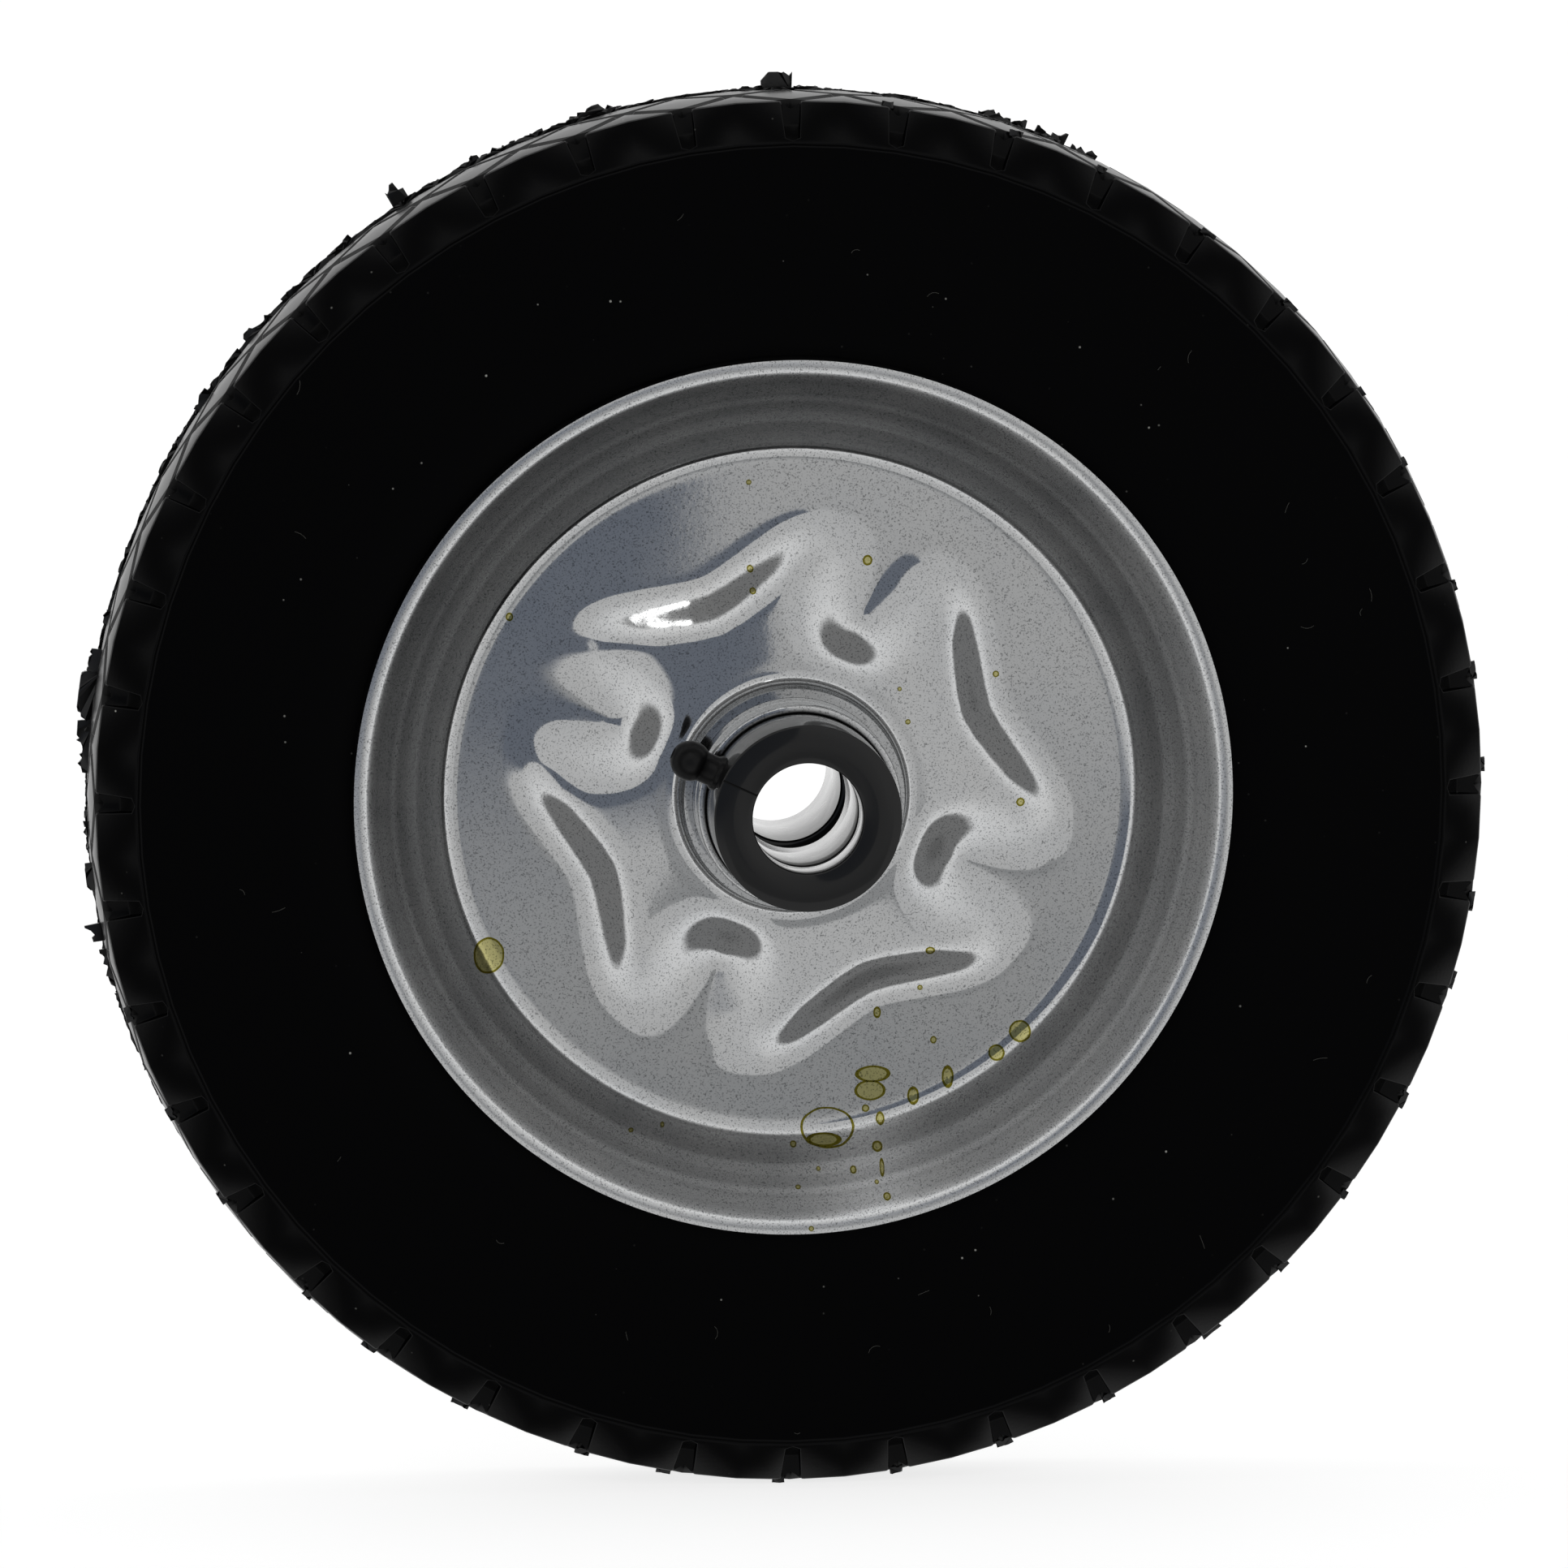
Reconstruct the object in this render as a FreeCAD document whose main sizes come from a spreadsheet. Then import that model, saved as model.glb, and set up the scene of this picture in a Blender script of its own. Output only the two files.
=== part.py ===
"""Lawn mower wheel: solid rubber tyre between two pressed-steel discs, on a bushed hub tube.

The wheel turns about Y. Its origin is on that axis in the middle plane of the tyre, and the
side with the long hub and the grease nipple faces -Y. Radii are measured from the axis, and
"half" sizes along the axis from the middle plane. All sizes are in millimetres.
"""
import FreeCAD, Part
import math
import os
import Sketcher
from FreeCAD import Placement, Rotation, Vector

SIZES = {
    # tyre
    "crown_radius": 127.0,
    "tread_edge_radius": 126.2,
    "tread_half": 9.5,
    "shoulder_radius": 119.0,
    "shoulder_half": 14.1,
    "shoulder_step": 0.6,
    "sidewall_radius": 92.0,
    "sidewall_half": 14.7,
    "tuck_half": 12.6,
    "tyre_foot_radius": 64.0,
    "pitch_count": 40,
    "groove_rows": 3,
    "groove_width": 2.0,
    "groove_depth": 1.5,
    "notch_inner_width": 2.6,
    "notch_inset": 0.5,
    "notch_depth": 2.4,
    # pressed discs
    "sheet_wall": 1.5,
    "rim_radius": 80.0,
    "rim_half": 16.2,
    "lip_roll_radius": 3.6,
    "lip_return_angle": 15.0,
    "flat_radius": 62.7,
    "flat_half": 5.2,
    "relief_height": 4.6,
    "relief_wall_width": 5.6,
    "relief_corner_radius": 5.0,
    "relief_corner_chords": 4,
    "relief_lobe_radius": 49.7,
    "relief_lobe_angle": 25.5,
    "relief_dip_radius": 37.0,
    "relief_valley_radius": 29.9,
    "relief_valley_angle": 8.0,
    "relief_turn": 22.5,
    "relief_repeats": 4,
    "neck_root": 2.6,
    "neck_end_half": 19.1,
    # hub
    "tube_half_length": 26.3,
    "tube_outer_radius": 18.5,
    "tube_wall": 1.5,
    "tube_chamfer": 0.6,
    "bore_radius": 10.0,
    "bore_chamfer": 0.6,
    "bush_edge_chamfer": 0.5,
    "hub_front": 41.5,
    "front_bush_length": 32.6,
    "rear_bush_length": 26.8,
    "grease_groove_width": 1.6,
    "grease_groove_depth": 0.8,
    "press_clearance": 0.03,
    # grease nipple
    "nipple_angle": 155.0,
    "nipple_setback": 9.2,
    "nipple_ball_radius": 3.65,
    "nipple_ball_reach": 22.5,
    "nipple_stem_radius": 2.5,
    "nipple_collar_radius": 3.1,
    "nipple_collar_height": 1.5,
    "nipple_shank_radius": 2.0,
    "nipple_shank_length": 4.2,
    "nipple_tip_radius": 1.5,
    "nipple_mouth_radius": 0.9,
    "nipple_passage_radius": 1.4,
    "nipple_seat_depth": 1.25,
    "nipple_crimp_wall": 0.7,
    "feed_hole_radius": 0.8,
    "check_ball_radius": 1.15,
    "check_ball_clearance": 0.08,
    "spring_coil_radius": 0.95,
    "spring_wire_radius": 0.15,
    "spring_turns": 3,
}

doc = FreeCAD.newDocument("MowerWheel")
sheet = doc.addObject("Spreadsheet::Sheet", "Sizes")
for row, (alias, number) in enumerate(SIZES.items(), start=1):
    sheet.set(f"A{row}", alias)
    sheet.set(f"B{row}", str(number))
    sheet.setAlias(f"B{row}", alias)
doc.recompute()


def size(alias):
    """The number in the sheet's cell of that name."""
    return float(sheet.get(alias))


def bind(target, bindings):
    """Ties properties of a document object to expressions over the sheet."""
    for name, expression in bindings.items():
        target.setExpression(name, expression)


def along_axis():
    """The turn that lays a primitive's own Z axis along the wheel's Y axis."""
    return Rotation(Vector(1, 0, 0), -90)


def arc_between(start, end, radius, turn):
    """The arc of a radius between two points, turning left (+1) or right (-1), under half a turn."""
    chord = end - start
    middle = (start + end) * 0.5
    left = Vector(-chord.y, chord.x, 0).normalize()
    rise = math.sqrt(max(radius**2 - (chord.Length / 2) ** 2, 0.0))
    centre = middle + left * (rise * turn)
    first, last = (start, end) if turn > 0 else (end, start)
    angles = [math.atan2(p.y - centre.y, p.x - centre.x) for p in (first, last)]
    return Part.ArcOfCircle(Part.Circle(centre, Vector(0, 0, 1), radius), angles[0], angles[1])


def tie(sketch, kind, places, expression):
    """Adds a sketch dimension that follows an expression."""
    value = float(sketch.evalExpression(expression))
    index = sketch.addConstraint(Sketcher.Constraint(kind, *places, value))
    sketch.setExpression(f"Constraints[{index}]", expression)


def draw_outline(sketch, corners, closed=True):
    """Draws an outline whose corners are pairs of expressions.

    A corner with two more entries, a radius and a turn, starts an arc instead of a straight side.
    """
    points = [Vector(*(float(sketch.evalExpression(e)) for e in corner[:2]), 0) for corner in corners]
    side_count = len(corners) if closed else len(corners) - 1
    ends = []
    for index, corner in enumerate(corners[:side_count]):
        start, end = points[index], points[(index + 1) % len(points)]
        if len(corner) == 4:
            radius = float(sketch.evalExpression(corner[2]))
            sketch.addGeometry(arc_between(start, end, radius, corner[3]))
            ends.append((1, 2) if corner[3] > 0 else (2, 1))
        else:
            sketch.addGeometry(Part.LineSegment(start, end))
            ends.append((1, 2))
    for index, corner in enumerate(corners):
        if index < side_count:
            place = (index, ends[index][0])
        else:
            place = (index - 1, ends[index - 1][1])
        tie(sketch, "DistanceX", (-1, 1, *place), corner[0])
        tie(sketch, "DistanceY", (-1, 1, *place), corner[1])
        if index < side_count and (closed or index < side_count - 1):
            following = (index + 1) % side_count
            join = (index, ends[index][1], following, ends[following][0])
            sketch.addConstraint(Sketcher.Constraint("Coincident", *join))
        if len(corner) == 4:
            tie(sketch, "Radius", (index,), corner[2])


def turned_body(label, corners):
    """A turned piece: the outline of its section, swung round the Y axis."""
    body = doc.addObject("PartDesign::Body", label)
    sketch = body.newObject("Sketcher::SketchObject", label + "_section")
    plane = next(item for item in body.Origin.OriginFeatures if item.Role == "XY_Plane")
    sketch.AttachmentSupport = [(plane, "")]
    sketch.MapMode = "FlatFace"
    draw_outline(sketch, corners)
    turn = body.newObject("PartDesign::Revolution", label + "_turned")
    turn.Profile = sketch
    turn.ReferenceAxis = (sketch, ["V_Axis"])
    turn.Angle = 360
    doc.recompute()
    return body


def combined(kind, label, base, tool):
    """A cut or a fuse of two document objects."""
    result = doc.addObject("Part::" + kind, label)
    result.Base = base
    result.Tool = tool
    return result


# Pressed discs

def dish_wall_angle():
    """The slope of the dish wall, which runs from the flat's edge and is tangent to the lip's roll."""
    back = math.radians(size("lip_return_angle"))
    across = size("rim_radius") - size("lip_roll_radius") * math.sin(back) - size("flat_radius")
    forward = size("rim_half") - size("lip_roll_radius") - size("flat_half")
    return math.asin(size("lip_roll_radius") / math.hypot(across, forward)) + math.atan2(forward, across)


def dish_sketch():
    """The disc's outer face in section: flat, sloping dish wall and rolled lip."""
    sketch = doc.addObject("Sketcher::SketchObject", "dish_line")
    slope = dish_wall_angle()
    back = math.radians(size("lip_return_angle"))
    roll_radius = size("lip_roll_radius")
    roll_centre = Vector(
        size("rim_radius") - roll_radius * math.sin(back), roll_radius - size("rim_half"), 0
    )
    flat_start = Vector(size("relief_valley_radius"), -size("flat_half"), 0)
    flat_end = Vector(size("flat_radius"), -size("flat_half"), 0)
    wall_end = roll_centre - Vector(math.sin(slope), math.cos(slope), 0) * roll_radius
    lip_end = roll_centre + Vector(math.sin(back), -math.cos(back), 0) * roll_radius
    sketch.addGeometry(Part.LineSegment(flat_start, flat_end))
    sketch.addGeometry(Part.LineSegment(flat_end, wall_end))
    sketch.addGeometry(arc_between(wall_end, lip_end, roll_radius, 1))
    flat, wall, roll = range(3)
    for rule in (
        ("Horizontal", flat),
        ("Coincident", flat, 2, wall, 1),
        ("Tangent", wall, 2, roll, 1),
    ):
        sketch.addConstraint(Sketcher.Constraint(*rule))
    tie(sketch, "DistanceX", (-1, 1, flat, 1), "Sizes.relief_valley_radius")
    tie(sketch, "DistanceY", (-1, 1, flat, 1), "-Sizes.flat_half")
    tie(sketch, "DistanceX", (-1, 1, flat, 2), "Sizes.flat_radius")
    tie(sketch, "Radius", (roll,), "Sizes.lip_roll_radius")
    tie(sketch, "DistanceX", (-1, 1, roll, 2), "Sizes.rim_radius")
    tie(
        sketch,
        "DistanceX",
        (-1, 1, roll, 3),
        "Sizes.rim_radius - Sizes.lip_roll_radius * sin(Sizes.lip_return_angle * 1 deg)",
    )
    tie(sketch, "DistanceY", (-1, 1, roll, 3), "Sizes.lip_roll_radius - Sizes.rim_half")
    return sketch


def neck_sketch():
    """The drawn neck's outer face in section: relief top, sloping root and straight collar."""
    sketch = doc.addObject("Sketcher::SketchObject", "neck_line")
    neck_radius = "Sizes.tube_outer_radius + Sizes.press_clearance + Sizes.sheet_wall"
    top = "-Sizes.flat_half - Sizes.relief_height"
    corners = [
        (f"{neck_radius} + Sizes.neck_root + Sizes.sheet_wall", top),
        (f"{neck_radius} + Sizes.neck_root", top),
        (neck_radius, f"{top} - Sizes.neck_root"),
        (neck_radius, "-Sizes.neck_end_half"),
    ]
    draw_outline(sketch, corners, closed=False)
    return sketch


def turned_sheet(label, line, wall):
    """A pressed ring of sheet: a section line thickened by an expression and swung round the axis."""
    section = doc.addObject("Part::Offset2D", label + "_section")
    section.Source = line
    section.Mode = "Skin"
    section.Fill = True
    section.Join = 2
    section.setExpression("Value", wall)
    ring = doc.addObject("Part::Revolution", label)
    ring.Source = section
    ring.Axis = Vector(0, 1, 0)
    ring.Angle = 360
    ring.Solid = True
    return ring


def relief_level(inset, place):
    """One level line of the star-shaped relief, drawn in by inset from its middle line, at a place along Y.

    Offsetting out, in and out again rounds the star's points and its inner corners alike.
    """
    repeats = int(size("relief_repeats"))
    period = 360.0 / repeats
    lobe = size("relief_lobe_angle")
    valley = size("relief_valley_angle")
    corners = []
    for repeat in range(repeats):
        dip = size("relief_turn") + repeat * period
        for angle, radius in (
            (dip, size("relief_dip_radius")),
            (dip + lobe, size("relief_lobe_radius")),
            (dip + period / 2 - valley, size("relief_valley_radius")),
            (dip + period / 2 + valley, size("relief_valley_radius")),
            (dip + period - lobe, size("relief_lobe_radius")),
        ):
            turn = math.radians(angle)
            corners.append(Vector(radius * math.cos(turn), radius * math.sin(turn), 0))
    rounding = size("relief_corner_radius")
    star = Part.makePolygon(corners + corners[:1])
    for offset in (rounding, -2 * rounding, rounding - inset):
        star = star.makeOffset2D(offset)
    points = []
    for edge in star.OrderedEdges:
        chords = 1 if isinstance(edge.Curve, Part.Line) else int(size("relief_corner_chords"))
        run = edge.discretize(Number=chords + 1)
        points += run[1:] if edge.Orientation == "Forward" else run[-2::-1]
    return [Vector(point.x, place, point.y) for point in points]


def flat_face(*corners):
    """A flat face with straight edges."""
    return Part.Face(Part.makePolygon([*corners, corners[0]]))


def relief_plug(label, setback):
    """The star-shaped rise of the sheet, with flat sloping walls from its foot to its top."""
    foot_place = setback - size("flat_half")
    half_wall = size("relief_wall_width") / 2
    foot = relief_level(-half_wall, foot_place)
    top = relief_level(half_wall, foot_place - size("relief_height"))
    faces = [flat_face(*foot), flat_face(*top)]
    for index in range(len(foot)):
        faces.append(flat_face(foot[index - 1], foot[index], top[index], top[index - 1]))
    plug = doc.addObject("Part::Feature", label)
    plug.Shape = Part.makeSolid(Part.makeShell(faces))
    return plug


def make_front_disc():
    """Pressed sheet: dish and rolled lip, star relief raised round the hub, neck drawn out of it."""
    dish = turned_sheet("dish", dish_sketch(), "-Sizes.sheet_wall")
    neck = turned_sheet("neck", neck_sketch(), "Sizes.sheet_wall")
    hole = doc.addObject("Part::Cylinder", "neck_hole")
    bind(hole, {
        "Radius": "Sizes.tube_outer_radius + Sizes.press_clearance + Sizes.sheet_wall",
        "Height": "2 * Sizes.rim_half",
        "Placement.Base.y": "-2 * Sizes.rim_half",
    })
    hole.Placement = Placement(Vector(0, -2 * size("rim_half"), 0), along_axis())
    raised = combined("Fuse", "raised_sheet", dish, relief_plug("relief_front", 0.0))
    hollowed = combined("Cut", "hollowed_sheet", raised, relief_plug("relief_back", size("sheet_wall")))
    pierced = combined("Cut", "pierced_sheet", hollowed, hole)
    return combined("Fuse", "front_disc", pierced, neck)


def make_rear_disc(front_disc):
    """The second disc is the same pressing, turned to face the other way."""
    disc = doc.addObject("Part::Mirroring", "rear_disc")
    disc.Source = front_disc
    disc.Base = Vector(0, 0, 0)
    disc.Normal = Vector(0, 1, 0)
    return disc


# Tyre, built from one cell that is half a tread pitch long; its rear half is the front half turned about

def tread_corner(place):
    """A corner of the crowned tread in section, as (radius, place along the axis)."""
    rise = size("crown_radius") - size("tread_edge_radius")
    return size("crown_radius") - rise * (place / size("tread_half")) ** 2, place


def sidewall_corners():
    """Corners of the tyre's section from the middle of its foot to the front shoulder."""
    slope = dish_wall_angle()
    gap = size("sheet_wall") + size("press_clearance")
    seat_radius = size("rim_radius") - size("lip_roll_radius")

    def seat(radius):
        rise = (radius - size("flat_radius")) * math.tan(slope)
        return radius, gap / math.cos(slope) - size("flat_half") - rise

    return [
        (size("tyre_foot_radius"), 0.0),
        seat(size("tyre_foot_radius")),
        seat(seat_radius),
        (size("rim_radius") + size("press_clearance"), -size("tuck_half")),
        (size("sidewall_radius"), -size("sidewall_half")),
        (size("shoulder_radius") - size("shoulder_step"), size("shoulder_step") - size("shoulder_half")),
        (size("shoulder_radius"), -size("shoulder_half")),
    ]


def at_angle(corner, degrees):
    """A section corner swung round the axis, from the top of the wheel towards +X."""
    turn = math.radians(degrees)
    return Vector(corner[0] * math.sin(turn), corner[1], corner[0] * math.cos(turn))


def step_towards(start, goal, distance):
    """The point at a distance from one point on the way to another."""
    return start + (goal - start).normalize() * distance


def tread_rows(cell_angle):
    """The tread of one cell: a zigzag V-groove with the diamonds' flat tops beside it.

    The groove's corners take turns on the cell's two sides. Where it opens at the tread's front edge
    is returned with the faces.
    """
    rows = int(size("groove_rows"))
    row_width = 2 * size("tread_half") / rows
    levels = [tread_corner(row * row_width - size("tread_half")) for row in range(rows + 1)]
    sides = [[at_angle(level, degrees) for level in levels] for degrees in (0, cell_angle)]
    bottoms, lips = [], []
    for row, (radius, place) in enumerate(levels):
        here, opposite = sides[row % 2][row], sides[1 - row % 2][row]
        diagonal = math.hypot(row_width, (opposite - here).Length)
        bottoms.append(at_angle((radius - size("groove_depth"), place), (row % 2) * cell_angle))
        lips.append(step_towards(here, opposite, size("groove_width") / 2 * diagonal / row_width))
    faces = []
    for row in range(len(levels) - 1):
        near, far = sides[row % 2], sides[1 - row % 2]
        across = (far[row] - near[row]).Length
        setback = size("groove_width") / 2 * math.hypot(row_width, across) / across
        near_lip = step_towards(near[row], near[row + 1], setback)
        far_lip = step_towards(far[row + 1], far[row], setback)
        faces += [
            flat_face(near_lip, near[row + 1], lips[row + 1]),
            flat_face(lips[row], far[row], far_lip),
            flat_face(near_lip, lips[row + 1], bottoms[row + 1]),
            flat_face(near_lip, bottoms[row + 1], bottoms[row]),
            flat_face(lips[row], far_lip, bottoms[row + 1]),
            flat_face(lips[row], bottoms[row + 1], bottoms[row]),
        ]
    return faces, lips[0], bottoms[0]


def notched_shoulder(cell_angle, groove_lip, groove_bottom):
    """The shoulder band of one cell, with half of a blunt notch that runs out into the tread's groove."""
    shoulder = (size("shoulder_radius"), -size("shoulder_half"))
    edge = (size("tread_edge_radius"), -size("tread_half"))
    inner, outer = at_angle(shoulder, 0), at_angle(edge, 0)
    along = (outer - inner).normalize()
    side = (at_angle(edge, cell_angle) - outer).normalize()
    sink = along.cross(Vector(1, 0, 0)) * size("notch_depth")
    end_middle = inner + along * size("notch_inset")
    half_width = size("notch_inner_width") / 2
    end_corner = end_middle + along * (half_width / 2) + side * half_width
    floor_middle, floor_corner = end_middle + sink, end_corner + sink

    def at_tread_edge(start, goal):
        return start + (goal - start) * ((outer.y - start.y) / (goal.y - start.y))

    mouth_middle = at_tread_edge(floor_middle, outer + sink)
    mouth_corner = at_tread_edge(floor_corner, groove_lip + sink)
    return [
        flat_face(
            groove_lip, at_angle(edge, cell_angle), at_angle(shoulder, cell_angle),
            inner, end_middle, end_corner,
        ),
        flat_face(groove_lip, end_corner, floor_corner, mouth_corner),
        flat_face(end_corner, end_middle, floor_middle, floor_corner),
        flat_face(floor_middle, floor_corner, mouth_corner, mouth_middle),
        flat_face(groove_lip, mouth_corner, mouth_middle, groove_bottom),
    ]


def make_tyre():
    """One cell, mirrored and repeated round the axis, sewn to one closed skin."""
    count = int(size("pitch_count"))
    cell_angle = 180.0 / count
    origin = Vector(0, 0, 0)
    axis = Vector(0, 1, 0)
    tread, groove_lip, groove_bottom = tread_rows(cell_angle)
    front = notched_shoulder(cell_angle, groove_lip, groove_bottom)
    corners = sidewall_corners()
    for near, far in zip(corners, corners[1:]):
        front.append(flat_face(
            at_angle(near, 0), at_angle(far, 0), at_angle(far, cell_angle), at_angle(near, cell_angle)
        ))
    rear = [face.copy() for face in front]
    for face in rear:
        face.rotate(origin, at_angle((1, 0), cell_angle / 2), 180)
    cell = tread + front + rear
    pitch = cell + [face.mirror(origin, Vector(1, 0, 0)) for face in cell]
    faces = []
    for step in range(count):
        for face in pitch:
            faces.append(face.copy())
            faces[-1].rotate(origin, axis, step * 2 * cell_angle)
    skin = Part.Compound(faces)
    skin.sewShape()
    tyre = doc.addObject("Part::Feature", "tyre")
    tyre.Shape = Part.makeSolid(skin.Shells[0])
    return tyre


# Hub tube and bushes

def make_hub_tube():
    """Drawn steel tube through both necks, with broken edges."""
    inner = "Sizes.tube_outer_radius - Sizes.tube_wall"
    outer = "Sizes.tube_outer_radius"
    end = "Sizes.tube_half_length"
    chamfer = "Sizes.tube_chamfer"
    return turned_body("hub_tube", [
        (inner, f"-{end}"),
        (f"{outer} - {chamfer}", f"-{end}"),
        (outer, f"{chamfer} - {end}"),
        (outer, f"{end} - {chamfer}"),
        (f"{outer} - {chamfer}", end),
        (inner, end),
    ])


def bush_corners(face, end, inwards):
    """The corners of a bush's section, with its edge and its bore broken at the face that shows.

    The sign inwards leads from that face to the bush's hidden end.
    """
    outer = "Sizes.tube_outer_radius - Sizes.tube_wall - Sizes.press_clearance"
    bore = "Sizes.bore_radius"
    edge = "Sizes.bush_edge_chamfer"
    mouth = "Sizes.bore_chamfer"
    outside = [
        (f"{bore} + {mouth}", face),
        (f"{outer} - {edge}", face),
        (outer, f"{face} {inwards} {edge}"),
        (outer, end),
    ]
    inside = [(bore, end), (bore, f"{face} {inwards} {mouth}")]
    return outside, inside


def radial_placement():
    """Places a piece that was drawn along Y so that it points outwards along the nipple's axis."""
    angle = math.radians(size("nipple_angle"))
    outwards = Vector(math.cos(angle), 0, math.sin(angle))
    place = Vector(0, size("nipple_setback") - size("hub_front"), 0)
    return Placement(place, Rotation(Vector(0, 1, 0), outwards))


def make_front_bush():
    """Moulded bush with a grease groove in its bore and the nipple's hole through its wall."""
    end = "-Sizes.hub_front + Sizes.front_bush_length"
    outside, inside = bush_corners("-Sizes.hub_front", end, "+")
    groove_start = "Sizes.nipple_setback - Sizes.hub_front - Sizes.grease_groove_width / 2"
    groove_end = "Sizes.nipple_setback - Sizes.hub_front + Sizes.grease_groove_width / 2"
    groove_radius = "Sizes.bore_radius + Sizes.grease_groove_depth"
    groove = [
        ("Sizes.bore_radius", groove_end),
        (groove_radius, groove_end),
        (groove_radius, groove_start),
        ("Sizes.bore_radius", groove_start),
    ]
    turned = turned_body("front_bush_turned", outside + inside[:1] + groove + inside[1:])
    bush_radius = "(Sizes.tube_outer_radius - Sizes.tube_wall - Sizes.press_clearance)"
    hole = "Sizes.nipple_shank_radius + Sizes.press_clearance"
    drill = turned_body("nipple_drill", [
        ("0", "Sizes.bore_radius"),
        ("Sizes.feed_hole_radius", "Sizes.bore_radius"),
        ("Sizes.feed_hole_radius", f"{bush_radius} - Sizes.nipple_shank_length"),
        (hole, f"{bush_radius} - Sizes.nipple_shank_length"),
        (hole, f"{bush_radius} + Sizes.nipple_collar_height"),
        ("0", f"{bush_radius} + Sizes.nipple_collar_height"),
    ])
    drill.Placement = radial_placement()
    return combined("Cut", "front_bush", turned, drill)


def make_rear_bush():
    """The plain bush, flush with the tube's rear end."""
    end = "Sizes.tube_half_length - Sizes.rear_bush_length"
    outside, inside = bush_corners("Sizes.tube_half_length", end, "-")
    return turned_body("rear_bush", outside + inside)


# Grease nipple, drawn along Y with Y measured from the wheel's axis

SEAT = "Sizes.tube_outer_radius - Sizes.tube_wall - Sizes.press_clearance"
BALL_Y = "Sizes.nipple_ball_reach"
SHANK_END = f"{SEAT} - Sizes.nipple_shank_length"
TIP = f"{BALL_Y} + sqrt(Sizes.nipple_ball_radius^2 - Sizes.nipple_tip_radius^2)"
SEAT_TOP = f"{TIP} - Sizes.nipple_seat_depth"
SEAT_FOOT = f"{SEAT_TOP} - Sizes.nipple_passage_radius + Sizes.nipple_mouth_radius"
CHECK_BALL_Y = (
    f"{SEAT_FOOT} + Sizes.nipple_passage_radius"
    " - (Sizes.check_ball_radius + Sizes.check_ball_clearance) * sqrt(2)"
)


def make_nipple_body():
    """Turned nipple: ball head, stem, collar on the bush and shank, with a stepped grease passage."""
    ball = "Sizes.nipple_ball_radius"
    stem = "Sizes.nipple_stem_radius"
    passage = "Sizes.nipple_passage_radius"
    body = turned_body("nipple_body", [
        ("Sizes.feed_hole_radius", SHANK_END),
        ("Sizes.nipple_shank_radius", SHANK_END),
        ("Sizes.nipple_shank_radius", SEAT),
        ("Sizes.nipple_collar_radius", SEAT),
        ("Sizes.nipple_collar_radius", f"{SEAT} + Sizes.nipple_collar_height"),
        (stem, f"{SEAT} + Sizes.nipple_collar_height"),
        (stem, f"{BALL_Y} - sqrt({ball}^2 - {stem}^2)", ball, 1),
        ("Sizes.nipple_tip_radius", TIP),
        ("Sizes.nipple_mouth_radius", TIP),
        ("Sizes.nipple_mouth_radius", SEAT_TOP),
        (passage, SEAT_FOOT),
        (passage, f"{SHANK_END} + Sizes.nipple_crimp_wall"),
        ("Sizes.feed_hole_radius", f"{SHANK_END} + Sizes.nipple_crimp_wall"),
    ])
    body.Placement = radial_placement()
    return body


def make_nipple_ball():
    """Steel check ball just below its conical seat."""
    ball = doc.addObject("Part::Sphere", "nipple_ball")
    bind(ball, {"Radius": "Sizes.check_ball_radius"})
    place = float(ball.evalExpression(CHECK_BALL_Y))
    ball.Placement = radial_placement().multiply(Placement(Vector(0, place, 0), Rotation()))
    return ball


def make_nipple_spring():
    """Wire coil between the crimped end of the shank and the check ball."""
    start = f"{SHANK_END} + Sizes.nipple_crimp_wall + 2 * Sizes.spring_wire_radius"
    end = (
        f"{CHECK_BALL_Y} - Sizes.check_ball_clearance - sqrt((Sizes.check_ball_radius"
        " + Sizes.spring_wire_radius)^2 - Sizes.spring_coil_radius^2)"
    )
    helix = doc.addObject("Part::Helix", "spring_line")
    bind(helix, {
        "Radius": "Sizes.spring_coil_radius",
        "Height": f"({end}) - ({start})",
        "Pitch": f"(({end}) - ({start})) / Sizes.spring_turns",
    })
    wire = doc.addObject("Part::RegularPolygon", "spring_wire")
    wire.Polygon = 6
    bind(wire, {"Circumradius": "Sizes.spring_wire_radius"})
    wire.Placement = Placement(Vector(size("spring_coil_radius"), 0, 0), Rotation(Vector(1, 0, 0), 90))
    coil = doc.addObject("Part::Sweep", "nipple_spring")
    coil.Sections = [wire]
    doc.recompute()
    coil.Spine = (helix, [f"Edge{index + 1}" for index in range(len(helix.Shape.Edges))])
    coil.Solid = True
    coil.Frenet = True
    foot = Placement(Vector(0, float(coil.evalExpression(start)), 0), along_axis())
    coil.Placement = radial_placement().multiply(foot)
    return coil


front_disc = make_front_disc()
pieces = [
    make_tyre(),
    front_disc,
    make_rear_disc(front_disc),
    make_hub_tube(),
    make_front_bush(),
    make_rear_bush(),
    make_nipple_body(),
    make_nipple_ball(),
    make_nipple_spring(),
]
doc.recompute()

for item in doc.Objects:
    if "Invalid" in item.State or "Error" in item.State:
        raise RuntimeError(f"{item.Name} failed: {item.State}")
for piece in pieces:
    if piece.Shape.isNull() or not piece.Shape.isValid() or len(piece.Shape.Solids) != 1:
        raise RuntimeError(f"{piece.Label} has no single valid solid")

os.makedirs("parts", exist_ok=True)
for piece in pieces:
    piece.Shape.exportStep(f"parts/{piece.Label}.step")
    print(piece.Label, round(piece.Shape.Volume, 1))
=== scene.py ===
import math
import random

import bpy
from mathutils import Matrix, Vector
from mathutils.kdtree import KDTree


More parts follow.
